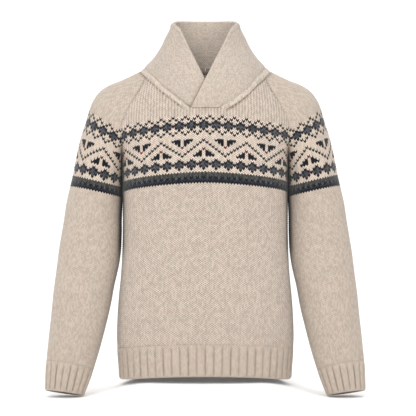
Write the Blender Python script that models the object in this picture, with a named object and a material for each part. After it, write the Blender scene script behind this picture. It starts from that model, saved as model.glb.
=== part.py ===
"""A shawl-collar sweater, filled out as if worn, built from the pieces a maker sews.

The pieces are the front and back panels, two raglan sleeves, the ribbed hem in a
front and a back half, two ribbed cuffs, the two halves of the shawl collar and the
two rolled neck trims that the collar stands on. Every piece is a knitted wall of its
own thickness, and the seams between pieces are narrow gaps.

Frame: +Z is up, the front of the sweater faces -Y, and the wearer's left is at +X.
The origin lies midway between the two points where the collar meets the shoulders.
All sizes in the tables are millimetres.
"""

import math

import bmesh
import bpy
import numpy as np

MM = 0.001

# Driving dimensions, in millimetres.
PANEL_WALL = 3.0  # knitted body and sleeves
RIB_WALL = 3.0  # ribbing, from the base of a rib to its inside
COLLAR_WALL = 5.0  # the collar is knitted double
SEAM_GAP = 0.3  # between two pieces along a seam
RIB_GROOVE = 1.5  # how far a groove sinks below the ribbing's surface
RIB_CROWN = 0.8  # how far the middle of a rib stands above it
RIB_SHOULDER = 0.18  # where a rib begins, as a share of one repeat
HEM_RIBS_PER_HALF = 28
CUFF_RIBS = 18
RIB_TOP_Z = -608.0  # the seam above the hem ribbing, at the side seams
RIB_RISE_FRONT = 13.0  # how much higher that seam is at the centre front
RIB_RISE_BACK = 4.0  # and at the centre back
HEM_HEIGHT = 69.0
HEM_ROUNDING = 1.2  # how far the lower edge of the ribbing is turned in
NECK_FLAT_Z = -91.0  # the level seam under the crossed collar
COLLAR_LAP = 2.9  # how far each flap moves away from the shared surface
TRIM_THICKNESS = 5.2
TRIM_WIDE = 9.0  # trim width on the shoulder
TRIM_NARROW = 5.6  # trim width at the front corner
SECTION_POWER = 2.4  # 2 is an ellipse, more is squarer
PANEL_FAN = 1.6  # above 1, a panel's columns fan out to the neck edge late
RIB_SPACING_Z = -640.0  # the height at which the hem's ribs are evenly spaced
CUFF_SPACING_FALL = 0.4  # the same on the cuff, as a share of its length
LAP_FROM, LAP_TO = 0.58, 0.84  # shares of a flap between which it leaves the other
SHIFT_FROM, SHIFT_TO = 0.8, 0.98  # and between which its base joins the rings
SHARP_ANGLE = 50.0  # edges between faces that turn more than this stay sharp

# How finely each piece is divided.
PANEL_COLUMNS, PANEL_ROWS_BELOW = 24, 6
SLEEVE_COLUMNS, SLEEVE_ROWS_BELOW = 20, 9
COLLAR_COLUMNS, COLLAR_ROWS = 22, 6
TRIM_STATIONS, TRIM_SIDES = 32, 6
LINE_SAMPLES = 241  # points on a seam or neck edge before it is divided
RING_SAMPLES = 2001  # points on a ring whose ribs are spaced by length
NECK_PASSES = 24  # how often the corners of the neck edge are smoothed

# Body sections from the hem up: height, half width at the side seam, depth in front
# of the side seam, depth behind it. Above the underarm the raglan seam sets the width.
BODY = (
    # z, half, front, back
    (-680, 188.0, 114, 108),
    (-650, 189.5, 115, 109),
    (-625, 191.5, 115, 109),
    (-590, 193.5, 117, 110),
    (-546, 192.5, 118, 110),
    (-506, 190.0, 117, 108),
    (-440, 184.0, 114, 106),
    (-400, 182.0, 112, 105),
    (-360, 181.0, 112, 105),
    (-320, 180.9, 113, 106),
    (-280, 181.2, 114, 108),
    (-240, 182.5, 116, 110),
    (-200, 184.0, 116, 112),
    (-150, 186.0, 114, 112),
    (-91, 188.0, 108, 107),
    (-40, 186.0, 100, 97),
    (-12, 184.0, 92, 87),
    (8, 184.0, 86, 79),
)

# Sleeve sections from the neck edge down to the cuff. "out" is the point on the
# outside of the arm, "mid" lies halfway between the two edges of the piece, or on
# the inner side of the arm where the sleeve is a tube. "deep" is half the depth,
# "wrap" the angle from the outside to the edge, and the leans turn the depth.
SLEEVE = (
    # out_x, out_y, out_z, mid_x, mid_y, mid_z, deep, wrap, lean_x, lean_z
    (137.0, 2, -1.0, 119.8, 4.0, -9.0, 75.8, 42, 0.155, -0.060),
    (158.5, 2, -10.8, 128.5, 2.5, -28.5, 73.5, 52, 0.095, -0.078),
    (183.5, 1, -22.8, 141.5, 1.5, -51.0, 74.5, 62, 0.070, -0.076),
    (209.0, 0, -33.0, 154.5, 1.8, -72.0, 73.8, 72, 0.064, -0.071),
    (229.0, 0, -45.5, 165.3, 2.5, -91.5, 73.3, 82, 0.059, -0.062),
    (244.0, 0, -64.0, 173.0, 3.5, -110.5, 71.8, 93, 0.056, -0.049),
    (254.0, 0, -86.5, 178.0, 4.0, -132.5, 69.9, 103, 0.044, -0.037),
    (262.0, 0, -114.5, 179.5, 4.0, -156.5, 68.1, 116.4, 0.025, -0.025),
    (271.5, 0, -143.0, 179.8, 3.5, -181.0, 66.9, 129.7, 0.015, -0.019),
    (279.0, -1, -172.0, 180.3, 3.0, -206.5, 66.1, 142.8, 0.006, -0.012),
    (285.3, -1, -203.0, 181.0, 2.5, -232.0, 65.6, 156.2, 0.0, 0.0),
    (290.5, -2, -230.0, 181.5, 1.5, -256.0, 65.2, 169.8, 0.0, 0.0),
    (296.0, -3, -255.0, 181.7, 0.5, -280.0, 64.8, 180, 0.0, 0.03),
    (304.5, -3, -292.0, 183.0, 0.0, -318.0, 63.0, 180, 0.0, 0.06),
    (310.5, -4, -332.0, 183.6, -3.0, -360.0, 61.0, 180, 0.0, 0.08),
    (316.0, -5, -366.0, 185.0, -6.0, -395.0, 59.0, 180, 0.0, 0.10),
    (321.2, -8, -400.0, 189.5, -10.0, -429.0, 57.5, 180, 0.0, 0.13),
    (326.5, -12, -446.0, 199.5, -15.0, -474.0, 55.0, 180, 0.0, 0.16),
    (331.8, -19, -492.0, 207.5, -22.0, -519.0, 52.0, 180, 0.0, 0.19),
    (335.5, -28, -540.0, 218.0, -32.0, -565.0, 48.5, 180, 0.0, 0.22),
    (339.8, -39, -588.0, 229.5, -43.0, -611.0, 44.5, 180, 0.0, 0.24),
    (343.5, -50, -636.0, 242.0, -55.0, -654.0, 41.0, 180, 0.0, 0.24),
)
UNDERARM = 12  # the section of the sleeve where it closes into a tube
CUFF_TOP = 21

# The cuff goes on from the last sleeve section, in the same columns.
CUFF = (
    # out_x, out_y, out_z, mid_x, mid_y, mid_z, deep, lean_x, lean_z
    (343.5, -50, -636.0, 242.0, -55.0, -654.0, 41.0, 0.0, 0.24),
    (344.0, -57, -658.0, 249.0, -62.0, -674.0, 37.0, 0.0, 0.22),
    (343.8, -69, -697.0, 261.5, -74.0, -707.5, 30.0, 0.0, 0.20),
)

# Half of the front neckline and of the back neckline: share of the half panel's
# top edge, distance from the centre, height.
NECK_FRONT = (
    # share, x, z
    (0.000, 0.0, NECK_FLAT_Z),
    (0.333, 39.5, NECK_FLAT_Z),
    (0.420, 51.5, -80.5),
    (0.560, 69.5, -65.0),
    (0.700, 87.5, -49.5),
    (0.850, 107.5, -31.0),
    (1.000, 127.6, -12.2),
)
NECK_BACK = (
    # share, x, z
    (0.00, 0.0, 2.0),
    (0.50, 56.0, 0.5),
    (1.00, 111.9, -6.0),
)

# The collar as rings round the neck: height, half width, depth in front, depth
# behind. Both flaps share these rings, so one laps evenly over the other.
COLLAR = (
    # z, half, front, back
    (-95, 196, 108.5, 100),
    (-70, 181, 106.0, 97),
    (-40, 160, 101.0, 92),
    (-12, 144, 93.0, 84),
    (5, 132, 87.0, 80),
    (22, 116, 79.0, 76.5),
    (45, 100, 68.0, 73.0),
    (72, 87, 61.0, 70.0),
    (96, 77, 57.0, 67.5),
    (116, 70, 55.0, 66.0),
)

# The collar's free edge round the back and sides: share of its length, angle from
# the centre front, height. From the front corner it runs straight to the far side.
COLLAR_EDGE = (
    # share, angle, z
    (0.00, 180.0, 117.0),
    (0.16, 152.0, 116.3),
    (0.33, 122.0, 113.5),
    (0.48, 90.0, 108.5),
    (0.59, 67.0, 102.5),
    (0.68, 49.0, 91.0),
)
COLLAR_CORNER = (58.0, 91.0)  # x and z where the straight front edge begins
COLLAR_FOOT = (-30.0, -90.6)  # x and z where it ends, past the centre front

COLOURS = {
    "beige": (205, 191, 175),
    "beige_shade": (196, 181, 164),
    "beige_light": (211, 197, 182),
}


def column(table, index):
    """One column of a table as an array."""
    return np.array([row[index] for row in table], float)


def smooth(at, knots, values):
    """A smooth curve through the values, read at any place along the knots."""
    at = np.asarray(at, float)
    slopes = np.gradient(values, knots)
    low = np.clip(np.searchsorted(knots, at) - 1, 0, len(knots) - 2)
    span = knots[low + 1] - knots[low]
    t = (at - knots[low]) / span
    start = (1 + 2 * t) * (1 - t) ** 2 * values[low]
    end = t * t * (3 - 2 * t) * values[low + 1]
    leave = t * (1 - t) ** 2 * span * slopes[low]
    arrive = t * t * (t - 1) * span * slopes[low + 1]
    return start + end + leave + arrive


def unit(vectors):
    """Vectors of length one, along the last axis."""
    length = np.linalg.norm(vectors, axis=-1, keepdims=True)
    return vectors / np.maximum(length, 1e-12)


def ramp(value, low, high):
    """A smooth step from 0 at low to 1 at high."""
    t = np.clip((value - low) / (high - low), 0, 1)
    return t * t * (3 - 2 * t)


def power_sin(angle):
    """The width of a squarish ring at an angle, from -1 to 1."""
    wave = np.sin(angle)
    return np.sign(wave) * np.abs(wave) ** (2 / SECTION_POWER)


def power_cos(angle):
    """The depth of a squarish ring at an angle, from 0 to 1."""
    return np.abs(np.cos(angle)) ** (2 / SECTION_POWER)


def surface_normals(surface, first, second, step_first, step_second):
    """Unit normals of surface(first, second), by differences in both directions."""
    along = surface(first + step_first, second) - surface(first - step_first, second)
    across = surface(first, second + step_second) - surface(first, second - step_second)
    return unit(np.cross(along, across))


# Sleeve ---------------------------------------------------------------------------


def tube_point(out, mid, deep, wrap, lean, angle):
    """A point on a section that runs from its outside round to both its edges."""
    front = unit(np.stack([lean[0], -np.ones_like(lean[0]), lean[1]], axis=-1))
    inward = (1 - np.cos(angle)) / (1 - np.cos(wrap))
    depth = deep * np.sin(angle)
    return out + (mid - out) * inward[..., None] + front * depth[..., None]


def sleeve_point(station, turn):
    """A point of the left sleeve: station along the table, turn from -1 (back) to 1."""
    knots = np.arange(len(SLEEVE), dtype=float)
    values = [smooth(station, knots, column(SLEEVE, i)) for i in range(10)]
    wrap = np.radians(np.minimum(values[7], 180.0))
    out = np.stack(values[0:3], axis=-1)
    mid = np.stack(values[3:6], axis=-1)
    return tube_point(out, mid, values[6], wrap, values[8:10], wrap * turn)


def raglan_seam(side):
    """The seam as (x, y, z) columns, from the underarm up: side is -1 front, 1 back."""
    stations = np.linspace(UNDERARM, 0, LINE_SAMPLES)
    return sleeve_point(stations, np.full(LINE_SAMPLES, -1.0 * side)).T


RAGLAN = {-1: raglan_seam(-1), 1: raglan_seam(1)}
UNDERARM_Z = float(SLEEVE[UNDERARM][5])


# Body -----------------------------------------------------------------------------


def body_depth(side, z):
    """The depth of the body in front of the side seam (-1) or behind it (1)."""
    return smooth(z, column(BODY, 0), column(BODY, 2 if side < 0 else 3))


def body_half(side, z):
    """The half width that makes the ring pass through the seam at this height."""
    seam_x, seam_y, seam_z = RAGLAN[side]
    x = np.interp(z, seam_z, seam_x)
    y = np.interp(z, seam_z, np.abs(seam_y))
    share = np.clip(y / body_depth(side, z), 0, 0.99) ** SECTION_POWER
    raglan = x / (1 - share) ** (1 / SECTION_POWER)
    plain = smooth(z, column(BODY, 0), column(BODY, 1))
    blend = ramp(z, UNDERARM_Z - 2, UNDERARM_Z + 2)
    return plain + (raglan - plain) * blend


def body_point(side, angle, z):
    """A point of the body: angle from the centre of its panel, height z."""
    x = body_half(side, z) * power_sin(angle)
    turned = np.where(np.abs(angle) > math.pi / 2, -side, side)
    y = turned * body_depth(side, z) * power_cos(angle)
    return np.stack([x, y, z + 0 * x], axis=-1)


def body_angle(side, x, z):
    """The angle at which the body's ring at this height has this x."""
    share = np.clip(np.abs(x) / body_half(side, z), 0, 1)
    return np.sign(x) * np.arcsin(share ** (SECTION_POWER / 2))


def seam_angle(side, z):
    """The angle of a panel's edge: the side seam, then the raglan seam above it."""
    seam_x, _, seam_z = RAGLAN[side]
    angle = body_angle(side, np.interp(z, seam_z, seam_x), z)
    return np.where(z <= UNDERARM_Z, math.pi / 2, angle)


def rib_top(side, angle):
    """The height of the seam above the ribbing, higher at the centre front."""
    rise = RIB_RISE_FRONT if side < 0 else RIB_RISE_BACK
    return RIB_TOP_Z + rise * np.cos(angle) ** 2


def neckline(side, across):
    """Angle and height of a panel's top edge, across from -1 to 1."""
    table = NECK_FRONT if side < 0 else NECK_BACK
    share = np.abs(across)
    x = np.interp(share, column(table, 0), column(table, 1))
    z = np.interp(share, column(table, 0), column(table, 2))
    return np.sign(across) * body_angle(side, x, z), z


def panel_domain(side, across, up):
    """Angle and height inside a panel, from its four edges (a Coons patch)."""
    lift = up**PANEL_FAN
    bottom = rib_top(side, across * math.pi / 2)
    bottom_edge = RIB_TOP_Z
    top_angle, top_z = neckline(side, across)
    corner_angle, corner_z = neckline(side, np.ones(1))
    edge_z = bottom_edge + (corner_z - bottom_edge) * up
    edge_angle = seam_angle(side, edge_z)
    angle = lift * top_angle + across * (edge_angle - lift * corner_angle)
    z = edge_z + (1 - lift) * (bottom - bottom_edge) + lift * (top_z - corner_z)
    return angle, z


def panel_rows(side):
    """Shares of a panel's height: above the underarm, its rows meet the sleeve's."""
    stations = np.arange(UNDERARM, -1, -1, dtype=float)
    seam = sleeve_point(stations, np.full(UNDERARM + 1, -1.0 * side))[:, 2]
    height = neckline(side, np.ones(1))[1] - RIB_TOP_Z
    meeting = (seam - RIB_TOP_Z) / height
    return np.append(np.linspace(0, meeting[0], PANEL_ROWS_BELOW + 1)[:-1], meeting)


# Neck and collar ------------------------------------------------------------------


def collar_point(angle, z):
    """A point of the rings round the neck: angle from the centre front, height."""
    knots = column(COLLAR, 0)
    half = smooth(z, knots, column(COLLAR, 1))
    front = smooth(z, knots, column(COLLAR, 2))
    back = smooth(z, knots, column(COLLAR, 3))
    depth = np.where(np.cos(angle) > 0, front, back)
    return np.stack([half * np.sin(angle), -depth * np.cos(angle), z + 0 * angle], axis=-1)


def collar_angle(points):
    """The angle on the rings that lies nearest to each point."""
    x, y, z = points[..., 0], points[..., 1], points[..., 2]
    knots = column(COLLAR, 0)
    half = smooth(z, knots, column(COLLAR, 1))
    front = smooth(z, knots, column(COLLAR, 2))
    back = smooth(z, knots, column(COLLAR, 3))
    return np.arctan2(x / half, -y / np.where(y < 0, front, back))


def resample(points, count):
    """Points spread evenly along a line."""
    steps = np.linalg.norm(np.diff(points, axis=0), axis=1)
    length = np.concatenate([[0], np.cumsum(steps)])
    at = np.linspace(0, length[-1], count)
    return np.stack([np.interp(at, length, points[:, i]) for i in range(3)], axis=1)


def neck_line(count):
    """The left half of the neck edge, from the centre back to the front corner."""
    share = np.linspace(0, 1, 30)
    corner = NECK_FRONT[1][0]
    back = body_point(1, *neckline(1, share))
    over = sleeve_point(np.zeros(30), np.linspace(-1, 1, 30))
    front = body_point(-1, *neckline(-1, 1 - share * (1 - corner)))
    line = resample(np.concatenate([back, over[1:], front[1:]]), LINE_SAMPLES)
    for _ in range(NECK_PASSES):
        line[1:-1] = (line[:-2] + 2 * line[1:-1] + line[2:]) / 4
    return resample(line, count)


def neck_frames(line):
    """Directions along the neck edge, up on to the collar, and out of the surface."""
    along = unit(np.gradient(line, axis=0))
    angle = collar_angle(line)
    z = line[:, 2]
    climb = collar_point(angle, z + 6) - collar_point(angle, z)
    climb -= along * np.sum(climb * along, axis=1, keepdims=True)
    climb = unit(climb)
    out = np.cross(climb, along)
    facing = np.sum(out * np.stack([line[:, 0], line[:, 1], 0 * z], axis=1), axis=1)
    return along, climb, unit(out * np.sign(facing)[:, None])


def trim_half(share):
    """Half the width of the neck trim, at a share of its length from the back."""
    return (TRIM_WIDE + (TRIM_NARROW - TRIM_WIDE) * ramp(share, 0.55, 1.0)) / 2


def collar_domain(share, across, count):
    """Angle, height and base correction inside a collar half, and its lap."""
    line = neck_line(count)
    along, climb, _ = neck_frames(line)
    rise = 2 * trim_half(share[:, 0]) + 2 * SEAM_GAP
    base = line + climb * rise[:, None]
    base[-1] += along[-1] * (COLLAR_FOOT[1] - base[-1, 2]) / along[-1, 2]
    base_angle = collar_angle(base)
    base_angle[0] = math.pi
    base_z = base[:, 2]
    shift = base - collar_point(base_angle, base_z)
    shift[0, 0] = 0.0
    shift[:, 2] = 0.0
    shift *= 1 - ramp(share[:, :1], SHIFT_FROM, SHIFT_TO)
    knots = column(COLLAR_EDGE, 0)
    straight = (share[:, 0] - knots[-1]) / (1 - knots[-1])
    front_x = COLLAR_CORNER[0] + (COLLAR_FOOT[0] - COLLAR_CORNER[0]) * straight
    front_z = COLLAR_CORNER[1] + (COLLAR_FOOT[1] - COLLAR_CORNER[1]) * straight
    half = smooth(front_z, column(COLLAR, 0), column(COLLAR, 1))
    front_angle = np.arcsin(np.clip(front_x / half, -1, 1))
    round_angle = np.radians(smooth(share[:, 0], knots, column(COLLAR_EDGE, 1)))
    round_z = smooth(share[:, 0], knots, column(COLLAR_EDGE, 2))
    past = straight > 0
    edge_angle = np.where(past, front_angle, round_angle)
    edge_z = np.where(past, front_z, round_z)
    angle = base_angle[:, None] * (1 - across) + edge_angle[:, None] * across
    z = base_z[:, None] * (1 - across) + edge_z[:, None] * across
    return angle, z, shift[:, None, :] * ((1 - across) ** 2)[..., None]


# Solids ---------------------------------------------------------------------------


def pull_in(grid, gap, rows=(True, True), columns=(True, True)):
    """A grid whose chosen edges have moved inwards by the gap."""
    moved = grid.copy()
    if rows[0]:
        moved[0] += unit(grid[1] - grid[0]) * gap
    if rows[1]:
        moved[-1] += unit(grid[-2] - grid[-1]) * gap
    if columns[0]:
        moved[:, 0] += unit(grid[:, 1] - grid[:, 0]) * gap
    if columns[1]:
        moved[:, -1] += unit(grid[:, -2] - grid[:, -1]) * gap
    return moved


def wall(name, outer, inner, colour, roughness, tube_from=None):
    """A solid between two grids; from a given row on, its side edges are joined."""
    rows, columns = outer.shape[:2]
    last = columns - 1
    closed = rows if tube_from is None else tube_from
    body = bmesh.new()
    points = [[[body.verts.new(p * MM) for p in row] for row in grid]
              for grid in (outer, inner)]
    for grid in points:
        for row in grid[closed:]:
            body.verts.remove(row[last])
            row[last] = row[0]
    for grid in points:
        for i in range(rows - 1):
            for j in range(last):
                face = (grid[i][j], grid[i][j + 1], grid[i + 1][j + 1], grid[i + 1][j])
                body.faces.new(face)
    front, behind = points
    for i in (0, rows - 1):
        for j in range(last):
            body.faces.new((front[i][j], front[i][j + 1], behind[i][j + 1], behind[i][j]))
    for j in (0, last):
        for i in range(min(closed, rows - 1)):
            body.faces.new((front[i][j], front[i + 1][j], behind[i + 1][j], behind[i][j]))
    return finish(name, body, colour, roughness)


def mirrored(grid):
    """The same grid on the wearer's right."""
    return grid * np.array([-1.0, 1.0, 1.0])


def finish(name, body, colour, roughness):
    """An object from a bmesh, with its normals out, its material and its parent."""
    bmesh.ops.recalc_face_normals(body, faces=body.faces)
    mesh = bpy.data.meshes.new(name)
    body.to_mesh(mesh)
    body.free()
    mesh.shade_smooth()
    mesh.set_sharp_from_angle(angle=math.radians(SHARP_ANGLE))
    mesh.materials.append(material(name + "_knit", COLOURS[colour], roughness))
    piece = bpy.data.objects.new(name, mesh)
    bpy.data.collections[COLLECTION].objects.link(piece)
    piece.parent = bpy.data.objects[ROOT]
    return piece


def material(name, colour, roughness):
    """A plain Principled material from an sRGB colour."""
    made = bpy.data.materials.new(name)
    made.use_nodes = True
    shader = made.node_tree.nodes["Principled BSDF"]
    linear = [(c / 255 / 12.92) if c < 11 else ((c / 255 + 0.055) / 1.055) ** 2.4
              for c in colour]
    shader.inputs["Base Color"].default_value = (*linear, 1.0)
    shader.inputs["Roughness"].default_value = roughness
    shader.inputs["Metallic"].default_value = 0.0
    return made


def make_panel(name, side):
    """The front (-1) or back (1) panel, from the ribbing to the neck edge."""
    across, up = np.meshgrid(
        np.linspace(-1, 1, PANEL_COLUMNS + 1), panel_rows(side)
    )
    angle, z = panel_domain(side, across, up)

    def surface(a, b):
        return body_point(side, a, b)

    outer = surface(angle, z)
    normals = surface_normals(surface, angle, z, 0.004, 0.5)
    normals *= np.sign(normals[..., 1:2] * side + 1e-9)
    for j, sign in ((0, -1), (-1, 1)):
        level = np.where(z[:, j] <= UNDERARM_Z + 1)[0]
        normals[level, j] = unit(normals[level, j] * [1, 0, 1])
        normals[level, j] *= np.sign(normals[level, j, 0:1]) * sign
    inner = outer - normals * PANEL_WALL
    gap = SEAM_GAP / 2
    return wall(name, pull_in(outer, gap), pull_in(inner, gap), "beige", 0.92)


def make_sleeve(name, flip):
    """A raglan sleeve: open along both raglan seams, a tube below the underarm."""
    upper = np.arange(UNDERARM + 1, dtype=float)
    lower = np.linspace(UNDERARM, CUFF_TOP, SLEEVE_ROWS_BELOW + 1)[1:]
    stations = np.concatenate([upper, lower])
    turn, station = np.meshgrid(np.linspace(-1, 1, SLEEVE_COLUMNS + 1), stations)
    outer = sleeve_point(station, turn)
    inside = np.clip(station, 0.02, CUFF_TOP - 0.02)
    normals = surface_normals(sleeve_point, inside, turn, 0.02, 0.01)
    middle = SLEEVE_COLUMNS // 2
    if normals[0, middle, 2] < 0:
        normals = -normals
    closed = len(upper) - 1
    seam = unit(normals[closed:, 0] + normals[closed:, -1])
    normals[closed:, 0] = seam
    normals[closed:, -1] = seam
    outer[closed:, -1] = outer[closed:, 0]
    normals[-1] = in_section(normals[-1], outer[-1])
    inner = outer - normals * PANEL_WALL
    gap = SEAM_GAP / 2
    open_rows = slice(0, closed)
    for grid in (outer, inner):
        pulled = pull_in(grid, gap, columns=(False, False))
        edges = pull_in(pulled, gap, rows=(False, False))
        pulled[open_rows] = edges[open_rows]
        grid[:] = pulled
    if flip:
        outer, inner = mirrored(outer), mirrored(inner)
    return wall(name, outer, inner, "beige", 0.92, tube_from=closed)


def in_section(normals, ring):
    """Normals laid into the plane of the ring where the sleeve meets the cuff."""
    third = len(ring) // 3
    axis = unit(np.cross(ring[third] - ring[0], ring[2 * third] - ring[0]))
    return unit(normals - axis * np.sum(normals * axis, axis=-1, keepdims=True))


def rib_columns(ribs):
    """Shares along the ribbing and the relief at each, one groove at each end."""
    places = np.array([0.0, RIB_SHOULDER, 0.5, 1 - RIB_SHOULDER])
    relief = np.array([-RIB_GROOVE, 0.0, RIB_CROWN, 0.0])
    shares = (np.arange(ribs)[:, None] + places).ravel() / ribs
    return np.append(shares, 1.0), np.append(np.tile(relief, ribs), -RIB_GROOVE)


def ribbed_wall(points, normals, relief, falls):
    """Outer and inner grids of ribbing, its lower edge turned in a little."""
    raised = relief[None, :] - HEM_ROUNDING * falls[:, None]
    outer = points + normals * raised[..., None]
    inside = -RIB_WALL + 0.6 * falls[:, None] + 0 * relief[None, :]
    return outer, points + normals * inside[..., None]


def make_hem(name, side):
    """One half of the ribbed hem, from side seam to side seam."""
    shares, relief = rib_columns(HEM_RIBS_PER_HALF)
    fine = np.linspace(-math.pi / 2, math.pi / 2, RING_SAMPLES)
    ring = body_point(side, fine, np.full(RING_SAMPLES, RIB_SPACING_Z))
    length = np.append(0, np.cumsum(np.linalg.norm(np.diff(ring, axis=0), axis=1)))
    angle = np.interp(shares * length[-1], length, fine)
    drop = np.array([0.0, 0.95, 1.0])
    falls = np.array([0.0, 0.0, 1.0])
    top = rib_top(side, angle)
    z = top[None, :] - HEM_HEIGHT * drop[:, None]
    angles = np.tile(angle, (3, 1))

    def surface(a, b):
        return body_point(side, a, b)

    points = surface(angles, z)
    normals = surface_normals(surface, angles, z, 0.004, 0.5)
    normals *= np.sign(normals[..., 1:2] * side + 1e-9)
    for j, sign in ((0, -1), (-1, 1)):
        normals[:, j] = unit(normals[:, j] * [1, 0, 1])
        normals[:, j] *= np.sign(normals[:, j, 0:1]) * sign
    outer, inner = ribbed_wall(points, normals, relief, falls)
    gap = SEAM_GAP / 2
    return wall(name, pull_in(outer, gap, rows=(True, False)),
                pull_in(inner, gap, rows=(True, False)), "beige_shade", 0.92)


def cuff_point(fall, angle):
    """A point of the left cuff: fall from its seam (0) to its open end (1)."""
    knots = np.array([0.0, 0.37, 1.0])
    values = [smooth(fall, knots, column(CUFF, i)) for i in range(9)]
    out = np.stack(values[0:3], axis=-1)
    mid = np.stack(values[3:6], axis=-1)
    wrap = np.full_like(values[6], math.pi)
    return tube_point(out, mid, values[6], wrap, values[7:9], angle)


def make_cuff(name, flip):
    """A ribbed cuff, its seam gap against the end of the sleeve."""
    shares, relief = rib_columns(CUFF_RIBS)
    fine = np.linspace(-math.pi, math.pi, RING_SAMPLES)
    ring = cuff_point(np.full(RING_SAMPLES, CUFF_SPACING_FALL), fine)
    length = np.append(0, np.cumsum(np.linalg.norm(np.diff(ring, axis=0), axis=1)))
    angle = np.interp(shares * length[-1], length, fine)
    drop = np.array([0.0, 0.94, 1.0])
    falls = np.array([0.0, 0.0, 1.0])
    angles, fall = np.meshgrid(angle, drop)
    points = cuff_point(fall, angles)
    inside = np.clip(fall, 0.02, 0.98)
    normals = surface_normals(cuff_point, inside, angles, 0.02, 0.01)
    if normals[0, len(shares) // 2, 0] < 0:
        normals = -normals
    normals[0] = in_section(normals[0], points[0])
    outer, inner = ribbed_wall(points, normals, relief, falls)
    gap = SEAM_GAP / 2
    outer = pull_in(outer, gap, rows=(True, False), columns=(False, False))
    inner = pull_in(inner, gap, rows=(True, False), columns=(False, False))
    if flip:
        outer, inner = mirrored(outer), mirrored(inner)
    return wall(name, outer, inner, "beige_shade", 0.92, tube_from=0)


def make_collar(name, flip, lap):
    """One half of the shawl collar; lap is +1 for the outer flap, -1 for the inner."""
    count = COLLAR_COLUMNS + 1
    across, share = np.meshgrid(
        np.linspace(0, 1, COLLAR_ROWS + 1), np.linspace(0, 1, count)
    )
    angle, z, shift = collar_domain(share, across, count)
    points = collar_point(angle, z) + shift
    normals = surface_normals(collar_point, angle, z, 0.004, 0.5)
    normals *= np.where(normals[..., 0:1] * np.sin(angle)[..., None]
                        - normals[..., 1:2] * np.cos(angle)[..., None] < 0, -1.0, 1.0)
    out = 1.0 + lap * COLLAR_LAP * ramp(share, LAP_FROM, LAP_TO)
    outer = points + normals * out[..., None]
    inner = outer - normals * COLLAR_WALL
    for grid in (outer, inner):
        grid[0, :, 0] = SEAM_GAP / 2
        grid[-1, :, 2] = np.maximum(grid[-1, :, 2], COLLAR_FOOT[1])
    if flip:
        outer, inner = mirrored(outer), mirrored(inner)
    return wall(name, outer, inner, "beige_light", 0.9)


def make_trim(name, flip):
    """The rolled trim that the collar stands on, along one half of the neck edge."""
    line = neck_line(TRIM_STATIONS)
    along, climb, out = neck_frames(line)
    half = trim_half(np.linspace(0, 1, TRIM_STATIONS))
    centre = line + climb * (half + SEAM_GAP)[:, None] - out * (PANEL_WALL / 2)
    turn = np.arange(TRIM_SIDES) * 2 * math.pi / TRIM_SIDES
    rings = (
        centre[:, None]
        + climb[:, None] * (half[:, None] * np.sin(turn))[..., None]
        + out[:, None] * (TRIM_THICKNESS / 2 * np.cos(turn))[None, :, None]
    )
    rings[0, :, 0] = SEAM_GAP / 2
    fall = (COLLAR_FOOT[1] - rings[-1, :, 2:3]) / along[-1, 2]
    rings[-1] += along[-1] * fall
    if flip:
        rings = mirrored(rings)
    body = bmesh.new()
    verts = [[body.verts.new(p * MM) for p in ring] for ring in rings]
    for i in range(TRIM_STATIONS - 1):
        for j in range(TRIM_SIDES):
            k = (j + 1) % TRIM_SIDES
            body.faces.new((verts[i][j], verts[i][k], verts[i + 1][k], verts[i + 1][j]))
    body.faces.new(verts[0])
    body.faces.new(verts[-1][::-1])
    return finish(name, body, "beige", 0.92)


COLLECTION = "shawl_collar_sweater"
ROOT = "sweater_frame"


def clear_scene():
    """Removes what the scene already holds."""
    for old in list(bpy.data.objects):
        bpy.data.objects.remove(old, do_unlink=True)


def main():
    """Builds every piece into one collection, under one empty."""
    clear_scene()
    collection = bpy.data.collections.new(COLLECTION)
    bpy.context.scene.collection.children.link(collection)
    frame = bpy.data.objects.new(ROOT, None)
    collection.objects.link(frame)
    make_panel("body_front", -1)
    make_panel("body_back", 1)
    make_sleeve("sleeve_left", False)
    make_sleeve("sleeve_right", True)
    make_hem("hem_rib_front", -1)
    make_hem("hem_rib_back", 1)
    make_cuff("cuff_left", False)
    make_cuff("cuff_right", True)
    make_collar("collar_left", False, 1)
    make_collar("collar_right", True, -1)
    make_trim("neck_trim_left", False)
    make_trim("neck_trim_right", True)


main()
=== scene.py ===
"""The visual model of a shawl-collar sweater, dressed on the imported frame.

Every piece is knitting: a grid of stitches laid on the form of its solid, four points
to a stitch across and two to a row, sheared into the V of a knit stitch. Geometry Nodes
raise the two legs of each stitch. The chest band is worked from a stitch chart, and each
face of the mesh knows its yarn.

Forms and tables are in millimetres in the frame of the part: +Z up, the front faces -Y,
the wearer's left is at +X. Meshes are in metres.
"""

import logging
import math
from dataclasses import dataclass, field, replace
from enum import Enum
from typing import Callable, Iterable, Sequence
import bpy  # noqa: E402
import numpy as np  # noqa: E402
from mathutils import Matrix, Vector  # noqa: E402


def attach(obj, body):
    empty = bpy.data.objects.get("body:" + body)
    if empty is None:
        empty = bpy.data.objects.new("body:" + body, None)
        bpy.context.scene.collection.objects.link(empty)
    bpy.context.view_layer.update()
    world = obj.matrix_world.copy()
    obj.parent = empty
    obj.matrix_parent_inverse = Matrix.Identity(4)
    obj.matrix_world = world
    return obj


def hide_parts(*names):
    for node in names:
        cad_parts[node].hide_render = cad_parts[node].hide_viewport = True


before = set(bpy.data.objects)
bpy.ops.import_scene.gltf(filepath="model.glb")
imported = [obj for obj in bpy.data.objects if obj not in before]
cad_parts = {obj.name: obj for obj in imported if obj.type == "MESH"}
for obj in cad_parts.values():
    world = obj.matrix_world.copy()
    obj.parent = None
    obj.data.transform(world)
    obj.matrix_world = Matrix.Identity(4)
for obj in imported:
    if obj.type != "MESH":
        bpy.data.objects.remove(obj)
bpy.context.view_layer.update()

log = logging.getLogger("sweater")
Array = np.ndarray
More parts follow.
